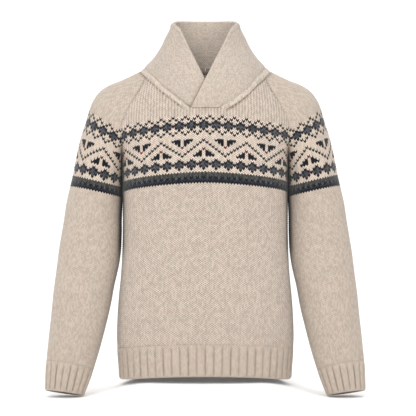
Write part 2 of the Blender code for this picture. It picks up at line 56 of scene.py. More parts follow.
Surface = Callable[[Array, Array], Array]
Table = Sequence[Sequence[float]]

MM = 0.001
BODY_NAME = "root"

# Knitting gauge, in millimetres.
STITCH_WIDTH = 6.55
ROW_HEIGHT = 4.66
KNIT_SLANT = 0.8  # how many rows the legs of a V climb from its foot to its sides
WALL = 3.0
COLLAR_WALL = 5.0
SEAM_GAP = 0.03 / STITCH_WIDTH  # how far a piece stays back from a seam, in stitches
ROW_SCALE = ROW_HEIGHT / STITCH_WIDTH  # the height of a row, in stitches

# The chest band on the body.
BAND_SEAM_Z = -275.0  # the lower edge of its bottom row at the seam
BAND_ROWS = 31
FROWN_POWER = 1.5  # how the rows bend down from the centre to the seams

RIB_TOP_Z = -608.0
RIB_RISE_FRONT = 13.0
RIB_RISE_BACK = 4.0
HEM_HEIGHT = 69.0
HEM_RIBS = 28  # on each half of the hem
CUFF_RIBS = 18
RIB_STITCHES = 3  # two knit stitches on the rib and one purl stitch in the groove
RIB_GROOVE = 1.8
RIB_CROWN = 1.1
RIB_SPACING_Z = -640.0  # the height where the hem's ribs are spaced evenly
CUFF_SPACING = 0.4  # the share of the cuff's fall where its ribs are
RIB_INSIDE = 3.6  # how deep the inner side of ribbing lies

NECK_FLAT_Z = -91.0
COLLAR_LAP = 2.9  # how far each flap parts from the surface that both share
LAP_FROM, LAP_TO = 0.58, 0.84  # the shares of the collar's length where they part
SHIFT_FROM, SHIFT_TO = 0.8, 0.98  # where the base line comes back on to the rings
TRIM_THICKNESS = 5.2
TRIM_WIDE, TRIM_NARROW = 9.0, 5.6
TRIM_GAP = 0.3
TRIM_COVER = 5.4  # how far the rolled trim reaches down over the neck edge
TRIM_DROP = {
    # side: x, and how much further down the trim lies there, at the front
    1: ((39.5, 0.5), (44, 1.5), (57, 6.2), (73, 8.0), (89, 8.5), (106, 6.8),
        (123, 5.4), (137, 3.0)),
    -1: ((39.5, 0.4), (46, 0.9), (63, 2.4), (79, 3.6), (93, 4.6), (118, 3.8),
         (137, 2.5)),
}
TRIM_REACH = TRIM_COVER - 0.5  # where the painted shadow line below the trim lies
TRIM_SLOPE = 1.33  # how much longer that is up and down than square to the trim
TRIM_END = 4.0  # how far the trim runs on past the corner of the neck edge
TRIM_GROWTH = {1: 1.2, -1: -0.9}  # how much wider the trim is on each side
SECTION_POWER = 2.4  # 2 would make the body's sections ellipses
UNDERARM = 12  # the section of the sleeve at the underarm
CUFF_TOP = 21  # its last section

# Body sections from the hem up.
BODY = (
    # z, half, front, back
    (-680, 188, 114, 108),
    (-650, 189.5, 115, 109),
    (-625, 191.5, 115, 109),
    (-590, 193.5, 117, 110),
    (-546, 192.5, 118, 110),
    (-506, 190, 117, 108),
    (-440, 184, 114, 106),
    (-400, 182, 112, 105),
    (-360, 181, 112, 105),
    (-320, 180.9, 113, 106),
    (-280, 181.2, 114, 108),
    (-240, 182.5, 116, 110),
    (-200, 184, 116, 112),
    (-150, 186, 114, 112),
    (-91, 188, 108, 107),
    (-40, 186, 100, 97),
    (-12, 184, 92, 87),
    (8, 184, 86, 79),
)

# Sleeve sections from the neck edge down to the cuff.
SLEEVE = (
    # out_x, out_y, out_z, mid_x, mid_y, mid_z, deep, wrap, lean_x, lean_z
    (137, 2, -1, 119.8, 4, -9, 75.8, 42, 0.155, -0.060),
    (158.5, 2, -10.8, 128.5, 2.5, -28.5, 73.5, 52, 0.095, -0.078),
    (183.5, 1, -22.8, 141.5, 1.5, -51, 74.5, 62, 0.070, -0.076),
    (209, 0, -33, 154.5, 1.8, -72, 73.8, 72, 0.064, -0.071),
    (229, 0, -45.5, 165.3, 2.5, -91.5, 73.3, 82, 0.059, -0.062),
    (244, 0, -64, 173, 3.5, -110.5, 71.8, 93, 0.056, -0.049),
    (254, 0, -86.5, 178, 4, -132.5, 69.9, 103, 0.044, -0.037),
    (262, 0, -114.5, 179.5, 4, -156.5, 68.1, 116.4, 0.025, -0.025),
    (271.5, 0, -143, 179.8, 3.5, -181, 66.9, 129.7, 0.015, -0.019),
    (279, -1, -172, 180.3, 3, -206.5, 66.1, 142.8, 0.006, -0.012),
    (285.3, -1, -203, 181, 2.5, -232, 65.6, 156.2, 0, 0),
    (290.5, -2, -230, 181.5, 1.5, -256, 65.2, 169.8, 0, 0),
    (296, -3, -255, 181.7, 0.5, -280, 64.8, 180, 0, 0.03),
    (304.5, -3, -292, 183, 0, -318, 63, 180, 0, 0.06),
    (310.5, -4, -332, 183.6, -3, -360, 61, 180, 0, 0.08),
    (316, -5, -366, 185, -6, -395, 59, 180, 0, 0.10),
    (321.2, -8, -400, 189.5, -10, -429, 57.5, 180, 0, 0.13),
    (326.5, -12, -446, 199.5, -15, -474, 55, 180, 0, 0.16),
    (331.8, -19, -492, 207.5, -22, -519, 52, 180, 0, 0.19),
    (335.5, -28, -540, 218, -32, -565, 48.5, 180, 0, 0.22),
    (339.8, -39, -588, 229.5, -43, -611, 44.5, 180, 0, 0.24),
    (343.5, -50, -636, 242, -55, -654, 41, 180, 0, 0.24),
)
SLEEVE_KNOTS = np.arange(len(SLEEVE), dtype=float)
CUFF = (
    # out_x, out_y, out_z, mid_x, mid_y, mid_z, deep, lean_x, lean_z
    (343.5, -50, -636, 242, -55, -654, 41, 0, 0.24),
    (344, -57, -658, 249, -62, -674, 37, 0, 0.22),
    (343.8, -69, -697, 261.5, -74, -707.5, 30, 0, 0.20),
)
CUFF_KNOTS = np.array([0.0, 0.37, 1.0])

NECK_FRONT = (
    # share, x, z
    (0.000, 0.0, NECK_FLAT_Z),
    (0.333, 39.5, NECK_FLAT_Z),
    (0.420, 51.5, -80.5),
    (0.560, 69.5, -65.0),
    (0.700, 87.5, -49.5),
    (0.850, 107.5, -31.0),
    (1.000, 127.6, -12.2),
)
CORNER_SHARE, CORNER_X = NECK_FRONT[1][:2]  # where the edge leaves its flat middle
NECK_BACK = (
    # share, x, z
    (0.00, 0.0, 2.0),
    (0.50, 56.0, 0.5),
    (1.00, 111.9, -6.0),
)

# The collar as rings round the neck, and its free edge.
COLLAR = (
    # z, half, front, back
    (-95, 196, 108.5, 100),
    (-70, 181, 106.0, 97),
    (-40, 160, 101.0, 92),
    (-12, 144, 93.0, 84),
    (5, 132, 87.0, 80),
    (22, 116, 79.0, 76.5),
    (45, 100, 68.0, 73.0),
    (72, 87, 61.0, 70.0),
    (96, 77, 57.0, 67.5),
    (116, 70, 55.0, 66.0),
)
COLLAR_EDGE = (
    # share, angle, z
    (0.00, 180.0, 117.0),
    (0.16, 152.0, 116.3),
    (0.33, 122.0, 113.5),
    (0.48, 90.0, 108.5),
    (0.59, 67.0, 102.5),
    (0.68, 49.0, 91.0),
)
COLLAR_CORNER = (58.0, 91.0)
COLLAR_FOOT = (-30.0, -90.6)


# Yarns and the chart ----------------------------------------------------------------


class Yarn(Enum):
    """The yarns of the sweater; a face of a mesh holds the number of its yarn."""

    BEIGE = 0
    CREAM = 1
    NAVY = 2
    SLATE = 3
    GREY = 4
    TAUPE = 5
    RED = 6


# One repeat of each border of the band, as a knitter charts it, from its top row down.
# N navy, S slate, G grey, T taupe, R red, and a dot for the cream ground.
CHART_LETTERS = {
    ".": Yarn.CREAM,
    "N": Yarn.NAVY,
    "S": Yarn.SLATE,
    "G": Yarn.GREY,
    "T": Yarn.TAUPE,
    "R": Yarn.RED,
}
LATTICE = (
    "..N.",
    ".N.N",
    "N...",
    "GN.N",
    "GGNG",
    "GN.N",
    "N...",
    ".N.N",
    "..N.",
)
ZIGZAG = (
    "N...NNN.NNN...",
    ".N...NN.NN...N",
    "..N...N.N...N.",
    "...N...R...N..",
    "R...N.....N...",
    ".N...N...N...N",
    ".NN...N.N...NN",
    ".NNN...N...NNN",
)
DIAMONDS = (
    "N...",
    "GN.N",
    "GGNG",
    "GN.N",
    "N...",
)
STRIPES = (
    "T",
    "T",
    "NG",
    "S",
    "N",
)
GROUND = (".",)


def band_rows() -> list[str]:
    """The rows of the whole band, from its bottom row up."""
    from_top = LATTICE + GROUND * 2 + ZIGZAG + GROUND + DIAMONDS + GROUND + STRIPES
    return list(reversed(from_top))


def yarn_at(stitch: Array, row: Array, shift: int) -> Array:
    """The yarn of each stitch.

    Args:
        stitch: columns of stitches, counted from the centre of the piece.
        row: rows, counted from the bottom row of the band.
        shift: how many columns the chart is moved on this piece.

    Returns:
        The number of the yarn of each stitch.
    """
    found = np.full(stitch.shape, Yarn.BEIGE.value)
    for number, line in enumerate(band_rows()):
        letters = np.array([CHART_LETTERS[c].value for c in line])
        here = row == number
        found[here] = letters[(stitch[here] - shift) % len(line)]
    return found


# Arithmetic on forms ----------------------------------------------------------------


def column(table: Table, index: int) -> Array:
    """One column of a table as an array."""
    return np.array([row[index] for row in table], float)


def smooth(at: Array, knots: Array, values: Array) -> Array:
    """A smooth curve through values, read at any place along the knots.

    Args:
        at: places to read.
        knots: rising places of the values.
        values: the values at the knots.

    Returns:
        The curve's values, in the shape of at.
    """
    at = np.asarray(at, float)
    slopes = np.gradient(values, knots)
    low = np.clip(np.searchsorted(knots, at) - 1, 0, len(knots) - 2)
    span = knots[low + 1] - knots[low]
    t = (at - knots[low]) / span
    start = (1 + 2 * t) * (1 - t) ** 2 * values[low]
    end = t * t * (3 - 2 * t) * values[low + 1]
    leave = t * (1 - t) ** 2 * span * slopes[low]
    arrive = t * t * (t - 1) * span * slopes[low + 1]
    return start + end + leave + arrive


def unit(vectors: Array) -> Array:
    """Vectors of length one, along the last axis."""
    length = np.linalg.norm(vectors, axis=-1, keepdims=True)
    return vectors / np.maximum(length, 1e-12)


def ramp(value: Array, low: float, high: float) -> Array:
    """A smooth step from 0 at low to 1 at high."""
    t = np.clip((value - low) / (high - low), 0, 1)
    return t * t * (3 - 2 * t)


def lengths_along(points: Array) -> Array:
    """The length of a line up to each of its points."""
    steps = np.linalg.norm(np.diff(points, axis=0), axis=1)
    return np.concatenate([[0.0], np.cumsum(steps)])


def read_line(at: Array, knots: Array, points: Array) -> Array:
    """Points anywhere along a line whose own points lie at the knots."""
    return np.stack([np.interp(at, knots, points[:, i]) for i in range(3)], axis=-1)


def resample(points: Array, count: int) -> Array:
    """Points spread evenly along a line."""
    length = lengths_along(points)
    return read_line(np.linspace(0, length[-1], count), length, points)


def normal_of(place: Surface, u: Array, v: Array, step: float = 0.05) -> Array:
    """The direction that is square to a surface.

    Args:
        place: the surface, a point for each pair of coordinates.
        u: first coordinates.
        v: second coordinates.
        step: half the distance over which its slopes are taken.

    Returns:
        A vector of length one, along u x v.
    """
    along_u = place(u + step, v) - place(u - step, v)
    along_v = place(u, v + step) - place(u, v - step)
    return unit(np.cross(along_u, along_v))


class ArcTable:
    """Lengths across a surface at many levels, which place stitches of an even width."""

    SAMPLES = 49

    def __init__(self, surface: Surface, levels: Array,
                 reach: Array) -> None:
        """Measures the surface.

        Args:
            surface: a point for each level and angle.
            levels: the levels that are measured, rising.
            reach: the angle at which each level ends.
        """
        share = np.linspace(0, 1, self.SAMPLES)
        self.levels = levels
        self.angles = reach[:, None] * share
        points = surface(levels[:, None] + 0 * self.angles, self.angles)
        steps = np.linalg.norm(np.diff(points, axis=1), axis=2)
        self.arcs = np.concatenate([0 * steps[:, :1], np.cumsum(steps, axis=1)], axis=1)

    def full(self, level: Array) -> Array:
        """The whole length from the middle to the end at each level."""
        return np.interp(level, self.levels, self.arcs[:, -1])

    def _rows(self, level: Array) -> list[Array]:
        """The arcs and angles of the table, read between its levels."""
        place = np.interp(level, self.levels, np.arange(len(self.levels)))
        low = np.clip(place.astype(int), 0, len(self.levels) - 2)
        t = (place - low)[..., None]
        return [table[low] * (1 - t) + table[low + 1] * t
                for table in (self.arcs, self.angles)]

    def angle(self, level: Array, arc: Array) -> Array:
        """The angle at which each level has run through this arc, either way."""
        arcs, angles = self._rows(level)
        return np.sign(arc) * self._read(arcs, angles, np.abs(arc)[..., None])

    def arc(self, level: Array, angle: Array) -> Array:
        """The arc at which each level has turned through this angle, either way."""
        arcs, angles = self._rows(level)
        return np.sign(angle) * self._read(angles, arcs, np.abs(angle)[..., None])

    @staticmethod
    def _read(knots: Array, values: Array, at: Array) -> Array:
        """Straight interpolation in every row at once, going on past both ends."""
        low = (knots < at).sum(axis=-1, keepdims=True) - 1
        low = np.clip(low, 0, knots.shape[-1] - 2)
        k0, k1 = (np.take_along_axis(knots, low + i, -1) for i in (0, 1))
        v0, v1 = (np.take_along_axis(values, low + i, -1) for i in (0, 1))
        share = (at - k0) / np.maximum(k1 - k0, 1e-9)
        return (v0 + (v1 - v0) * share)[..., 0]


# Forms --------------------------------------------------------------------------------


def tube_point(table: Table, knots: Array, at: Array, angle: Array,
               wrap: Array | float) -> Array:
    """A point on a section that runs from its outside round to both its edges.

    Args:
        table: sections: out, mid and deep first, lean_x and lean_z last.
        knots: the place of each section along the tube.
        at: the place of the wanted section.
        angle: the angle from the outside.
        wrap: the angle at which the section ends.

    Returns:
        The point.
    """
    values = [smooth(at, knots, column(table, i)) for i in range(len(table[0]))]
    out, mid = (np.stack(values[i:i + 3], axis=-1) for i in (0, 3))
    lean_x, lean_z = values[-2:]
    front = unit(np.stack([lean_x, -np.ones_like(lean_x), lean_z], axis=-1))
    inward = (1 - np.cos(angle)) / (1 - np.cos(wrap))
    depth = values[6] * np.sin(angle)
    return out + (mid - out) * inward[..., None] + front * depth[..., None]


def sleeve_point(station: Array, turn: Array) -> Array:
    """A point of the left sleeve: station along its sections, turn from -1 to 1."""
    degrees = smooth(station, SLEEVE_KNOTS, column(SLEEVE, 7))
    wrap = np.radians(np.minimum(degrees, 180.0))
    return tube_point(SLEEVE, SLEEVE_KNOTS, station, wrap * turn, wrap)


def cuff_point(fall: Array, angle: Array) -> Array:
    """A point of the left cuff: fall from its seam (0) to its open end (1)."""
    return tube_point(CUFF, CUFF_KNOTS, fall, angle, math.pi)


class BodyForm:
    """The front (-1) or the back (1) of the body, as rings that meet at the side seams."""

    SEAM_SAMPLES = 241

    def __init__(self, side: int) -> None:
        """Works out the raglan seam of this side."""
        self.side = side
        self.stations = np.linspace(UNDERARM, 0, self.SEAM_SAMPLES)
        turn = np.full(self.SEAM_SAMPLES, -1.0 * side)
        self.seam = sleeve_point(self.stations, turn)
        self.underarm_z = float(SLEEVE[UNDERARM][5])

    def depth(self, z: Array) -> Array:
        """The depth of the body from its side seams."""
        return smooth(z, column(BODY, 0), column(BODY, 2 if self.side < 0 else 3))

    def half(self, z: Array) -> Array:
        """The half width that makes the ring pass through the seam at this height."""
        x = np.interp(z, self.seam[:, 2], self.seam[:, 0])
        y = np.interp(z, self.seam[:, 2], np.abs(self.seam[:, 1]))
        share = np.clip(y / self.depth(z), 0, 0.99) ** SECTION_POWER
        raglan = x / (1 - share) ** (1 / SECTION_POWER)
        plain = smooth(z, column(BODY, 0), column(BODY, 1))
        return plain + (raglan - plain) * ramp(z, self.underarm_z - 2, self.underarm_z + 2)

    def point(self, z: Array, angle: Array) -> Array:
        """A point of the body: height, and angle from the centre of its panel."""
        wave = np.sin(angle)
        x = self.half(z) * np.sign(wave) * np.abs(wave) ** (2 / SECTION_POWER)
        turned = np.where(np.abs(angle) > math.pi / 2, -self.side, self.side)
        y = turned * self.depth(z) * np.abs(np.cos(angle)) ** (2 / SECTION_POWER)
        return np.stack([x, y, z + 0 * x], axis=-1)

    def angle(self, x: Array, z: Array) -> Array:
        """The angle at which the ring at this height has this x."""
        share = np.clip(np.abs(x) / self.half(z), 0, 1)
        return np.sign(x) * np.arcsin(share ** (SECTION_POWER / 2))

    def seam_angle(self, z: Array) -> Array:
        """The angle of a panel's edge: the side seam, then the raglan seam above it."""
        angle = self.angle(np.interp(z, self.seam[:, 2], self.seam[:, 0]), z)
        return np.where(z <= self.underarm_z, math.pi / 2, angle)

    def rib_top(self, angle: Array) -> Array:
        """The height of the seam above the ribbing."""
        rise = RIB_RISE_FRONT if self.side < 0 else RIB_RISE_BACK
        return RIB_TOP_Z + rise * np.cos(angle) ** 2

    def neckline(self, share: Array) -> tuple[Array, Array]:
        """Angle and height along the top edge, from the centre to the raglan seam."""
        table = NECK_FRONT if self.side < 0 else NECK_BACK
        x = np.interp(share, column(table, 0), column(table, 1))
        z = np.interp(share, column(table, 0), column(table, 2))
        return self.angle(x, z), z


FRONT_FORM = BodyForm(-1)
BACK_FORM = BodyForm(1)


def collar_ring(z: Array) -> list[Array]:
    """Half the width, and the depth at the front and back, of a ring round the neck."""
    return [smooth(z, column(COLLAR, 0), column(COLLAR, i)) for i in (1, 2, 3)]


def collar_point(angle: Array, z: Array) -> Array:
    """A point of the rings round the neck: angle from the centre front, height."""
    half, front, back = collar_ring(z)
    y = -np.where(np.cos(angle) > 0, front, back) * np.cos(angle)
    return np.stack([half * np.sin(angle), y, z + 0 * angle], axis=-1)


def collar_angle(points: Array) -> Array:
    """The angle on the rings that lies nearest to each point."""
    x, y, z = points[..., 0], points[..., 1], points[..., 2]
    half, front, back = collar_ring(z)
    return np.arctan2(x / half, -y / np.where(y < 0, front, back))


EDGE_SAMPLES = 30  # points on each piece's part of the neck edge
LINE_SAMPLES = 241  # points on the whole edge while it is smoothed
LINE_PASSES = 24  # how often it is smoothed


def neck_line(count: int) -> Array:
    """The left half of the neck edge, from the centre back to the front corner."""
    share = np.linspace(0, 1, EDGE_SAMPLES)
    back_angle, back_z = BACK_FORM.neckline(share)
    front_angle, front_z = FRONT_FORM.neckline(1 - share * (1 - CORNER_SHARE))
    back = BACK_FORM.point(back_z, back_angle)
    over = sleeve_point(0 * share, np.linspace(-1, 1, EDGE_SAMPLES))
    front = FRONT_FORM.point(front_z, front_angle)
    line = resample(np.concatenate([back, over[1:], front[1:]]), LINE_SAMPLES)
    for _ in range(LINE_PASSES):
        line[1:-1] = (line[:-2] + 2 * line[1:-1] + line[2:]) / 4
    return resample(line, count)


def neck_frames(line: Array) -> tuple[Array, Array, Array]:
    """Directions along the neck edge, up on to the collar, and out of the surface."""
    along = unit(np.gradient(line, axis=0))
    angle = collar_angle(line)
    z = line[:, 2]
    climb = collar_point(angle, z + 6) - collar_point(angle, z)
    climb -= along * np.sum(climb * along, axis=1, keepdims=True)
    climb = unit(climb)
    out = np.cross(climb, along)
    facing = np.sum(out * np.stack([line[:, 0], line[:, 1], 0 * z], axis=1), axis=1)
    return along, climb, unit(out * np.sign(facing)[:, None])


def trim_half(share: Array) -> Array:
    """Half the width of the neck trim, at a share of its length from the back."""
    return (TRIM_WIDE + (TRIM_NARROW - TRIM_WIDE) * ramp(share, 0.55, 1.0)) / 2


def trim_drop(points: Array, side: int) -> Array:
    """How much further down the neck trim lies at points of the neck edge.

    Args:
        points: points of the neck edge, on the wearer's left or mirrored to it.
        side: 1 for the wearer's left, -1 for the right.

    Returns:
        The drop at each point.
    """
    knots = TRIM_DROP[side]
    drop = np.interp(np.abs(points[..., 0]), column(knots, 0), column(knots, 1))
    return drop * ramp(-points[..., 1], -35.0, 25.0)


class CollarForm:
    """Half of the shawl collar: share runs round the neck, across from base to edge."""

    STATIONS = 121
    REACH = 1.5  # how far the collar reaches down over the trim

    def __init__(self, lap: int) -> None:
        """Works out the base line and the free edge.

        Args:
            lap: 1 for the flap that lies over the other, -1 for the one below.
        """
        self.lap = lap
        self.shares = np.linspace(0, 1, self.STATIONS)
        share = self.shares
        line = neck_line(self.STATIONS)
        along, climb, _ = neck_frames(line)
        rise = 2 * trim_half(share) + 2 * TRIM_GAP - trim_drop(line, lap)
        rise += (TRIM_GROWTH[lap] - self.REACH) * ramp(share, 0.4, 0.6)
        base = line + climb * rise[:, None]
        base[-1] += along[-1] * (COLLAR_FOOT[1] - base[-1, 2]) / along[-1, 2]
        self.base_angle = collar_angle(base)
        self.base_angle[0] = math.pi
        self.base_z = base[:, 2]
        self.shift = base - collar_point(self.base_angle, self.base_z)
        self.shift[0, 0] = 0.0
        self.shift[:, 2] = 0.0
        self.shift *= 1 - ramp(share[:, None], SHIFT_FROM, SHIFT_TO)
        knots = column(COLLAR_EDGE, 0)
        straight = (share - knots[-1]) / (1 - knots[-1])
        front_x, front_z = (corner + (foot - corner) * straight
                            for corner, foot in zip(COLLAR_CORNER, COLLAR_FOOT))
        half = collar_ring(front_z)[0]
        front_angle = np.arcsin(np.clip(front_x / half, -1, 1))
        round_angle = np.radians(smooth(share, knots, column(COLLAR_EDGE, 1)))
        round_z = smooth(share, knots, column(COLLAR_EDGE, 2))
        self.edge_angle = np.where(straight > 0, front_angle, round_angle)
        self.edge_z = np.where(straight > 0, front_z, round_z)

    def point(self, share: Array, across: Array) -> Array:
        """A point on the shared surface of both flaps."""
        base_angle, edge_angle, base_z, edge_z = (
            np.interp(share, self.shares, values) for values in
            (self.base_angle, self.edge_angle, self.base_z, self.edge_z))
        angle = base_angle * (1 - across) + edge_angle * across
        z = base_z * (1 - across) + edge_z * across
        shift = read_line(share, self.shares, self.shift)
        return collar_point(angle, z) + shift * ((1 - across) ** 2)[..., None]

    def offset(self, share: Array) -> Array:
        """How far the middle of the double fabric lies outside the shared surface."""
        parted = self.lap * COLLAR_LAP * ramp(share, LAP_FROM, LAP_TO)
        return 1.0 + parted - COLLAR_WALL / 2


# Creases ------------------------------------------------------------------------------


@dataclass(frozen=True)
class Crease:
    """A soft trough (or ridge) in the cloth, from one point to another.

    Attributes:
        start: x and z of one end, on the wearer's left.
        end: x and z of the other end.
        width: how far from its line it is half as deep.
        depth: its depth at the middle, negative for a ridge.
    """

    start: tuple[float, float]
    end: tuple[float, float]
    width: float
    depth: float

    def sink(self, points: Array) -> Array:
        """How deep the crease is at each point."""
        start = np.array(self.start)
        run = np.array(self.end) - start
        flat = points[..., [0, 2]] - start
        share = (flat @ run) / (run @ run)
        away = np.linalg.norm(flat - share[..., None] * run, axis=-1)
        taper = np.sin(math.pi * np.clip(share, 0, 1)) ** 0.8
        return self.depth * taper * np.exp(-0.69 * (away / self.width) ** 2)


def sink_of(creases: Iterable[Crease], points: Array) -> Array:
    """How deep all the creases are together at each point."""
    total = np.zeros(points.shape[:-1])
    for crease in creases:
        total += crease.sink(points)
    return total


FRONT_CREASES = (
    Crease((170, -300), (92, -352), 13, 1.9),
    Crease((-172, -306), (-104, -374), 14, 1.7),
    Crease((176, -462), (112, -497), 15, 1.6),
    Crease((-178, -446), (-126, -476), 13, 1.6),
    Crease((-52, -552), (58, -574), 19, -1.3),
    Crease((96, -592), (36, -538), 15, 1.2),
    Crease((-150, -590), (-88, -548), 15, 1.2),
)
BACK_CREASES = (
    Crease((156, -306), (62, -360), 15, 2.1),
    Crease((-162, -298), (-84, -346), 14, 1.8),
    Crease((4, -40), (-6, -210), 26, 1.6),
    Crease((-112, -492), (64, -524), 18, 1.7),
    Crease((128, -590), (22, -562), 18, -1.3),
)
LEFT_SLEEVE_CREASES = (
    Crease((234, -292), (196, -342), 13, 1.9),
    Crease((306, -380), (212, -418), 12, 2.2),
    Crease((318, -424), (236, -446), 12, -1.2),
    Crease((328, -496), (246, -528), 13, 1.7),
    Crease((338, -598), (252, -618), 10, 1.5),
)
RIGHT_SLEEVE_CREASES = (
    Crease((226, -286), (194, -352), 14, 1.8),
    Crease((312, -402), (220, -432), 13, 2.1),
    Crease((316, -366), (248, -388), 13, -1.2),
    Crease((330, -520), (244, -546), 14, 1.6),
    Crease((338, -606), (262, -622), 10, 1.4),
)


# Knitted meshes -----------------------------------------------------------------------


@dataclass
class Layer:
    """One side of a knitted wall as arrays, before it becomes a mesh.

    Attributes:
        points: vertices, in millimetres.
        outward: the direction in which each vertex is raised.
        wale: stitch coordinate of each vertex, whole at the middle of a stitch.
        course: row coordinate of each vertex, whole at the foot of a row.
        relief: how much of the stitch relief each vertex takes, 0 to 1.
        shade: the painted shade of each vertex in a groove, fold or seam, 0 to 1, or
            painted light above 1.
        faces: lists of vertex numbers.
        yarn: the yarn of each face.
    """

    points: Array
    outward: Array
    wale: Array
    course: Array
    relief: Array
    shade: Array
    faces: list[list[int]]
    yarn: list[int]

    def loops(self) -> list[list[int]]:
        """The closed boundary lines, along the direction of the faces beside them."""
        onward: dict[int, int] = {}
        edges = {(f[i], f[(i + 1) % len(f)]) for f in self.faces for i in range(len(f))}
        for a, b in edges:
            if (b, a) not in edges:
                onward[a] = b
        found = []
        while onward:
            first = min(onward)
            loop = [first]
            here = onward.pop(first)
            while here != first and here in onward:
                loop.append(here)
                here = onward.pop(here)
            found.append(loop)
        return sorted(found, key=len, reverse=True)

    def reversed(self) -> "Layer":
        """The same layer with its faces turned round."""
        return replace(self, faces=[f[::-1] for f in self.faces])

    def mirrored(self) -> "Layer":
        """The layer on the wearer's right."""
        over = np.array([-1.0, 1.0, 1.0])
        return replace(self.reversed(), points=self.points * over,
                       outward=self.outward * over)

    def welded(self, near: float = 0.02) -> "Layer":
        """The layer with the boundary points that lie on each other made one."""
        edge = [i for loop in self.loops() for i in loop]
        cells: dict[tuple[int, int, int], int] = {}
        onto = np.arange(len(self.points))
        for i in edge:
            key = tuple(np.round(self.points[i] / near).astype(int))
            near_keys = [(key[0] + a, key[1] + b, key[2] + c)
                         for a in (-1, 0, 1) for b in (-1, 0, 1) for c in (-1, 0, 1)]
            found = next((cells[k] for k in near_keys if k in cells), None)
            if found is None:
                cells[key] = i
            else:
                onto[i] = found
        faces, yarn = [], []
        for f, y in zip(self.faces, self.yarn):
            kept = [int(onto[i]) for i in f]
            kept = [a for n, a in enumerate(kept) if a != kept[n - 1]]
            if len(kept) > 2:
                faces.append(kept)
                yarn.append(y)
        return replace(self, faces=faces, yarn=yarn)

    def close(self, faces: list[list[int]]) -> None:
        """Adds plain faces, which close the layer."""
        self.faces.extend(faces)
        self.yarn.extend([Yarn.BEIGE.value] * len(faces))


def joined(first: Layer, second: Layer) -> tuple[Layer, int]:
    """Both layers in one, and the number by which the second's vertices moved up."""
    count = len(first.points)
    faces = first.faces + [[i + count for i in f] for f in second.faces]
    both = {key: np.concatenate([getattr(first, key), getattr(second, key)])
            for key in ("points", "outward", "wale", "course", "relief", "shade")}
    return Layer(**both, faces=faces, yarn=first.yarn + second.yarn), count


def bridge(points: Array, first: list[int], second: list[int],
           closed: bool) -> list[list[int]]:
    """Triangles between two lines that run side by side.

    Args:
        points: all the vertices.
        first: a boundary line, in the direction of the faces beside it.
        second: the other line, in the same direction.
        closed: whether both lines are rings.

    Returns:
        The triangles, turned as the faces beside the first line.
    """
    if closed:
        apart = np.linalg.norm(points[second] - points[first[0]], axis=1)
        start = int(np.argmin(apart))
        second = second[start:] + second[:start]
        first, second = first + first[:1], second + second[:1]
    made = []
    i = j = 0
    while i < len(first) - 1 or j < len(second) - 1:
        step_first = step_second = math.inf
        if i < len(first) - 1:
            step_first = np.linalg.norm(points[first[i + 1]] - points[second[j]])
        if j < len(second) - 1:
            step_second = np.linalg.norm(points[first[i]] - points[second[j + 1]])
        if step_first <= step_second:
            triangle = [first[i + 1], first[i], second[j]]
            i += 1
        else:
            triangle = [first[i], second[j], second[j + 1]]
            j += 1
        if len(set(triangle)) == 3:
            made.append(triangle)
    return made


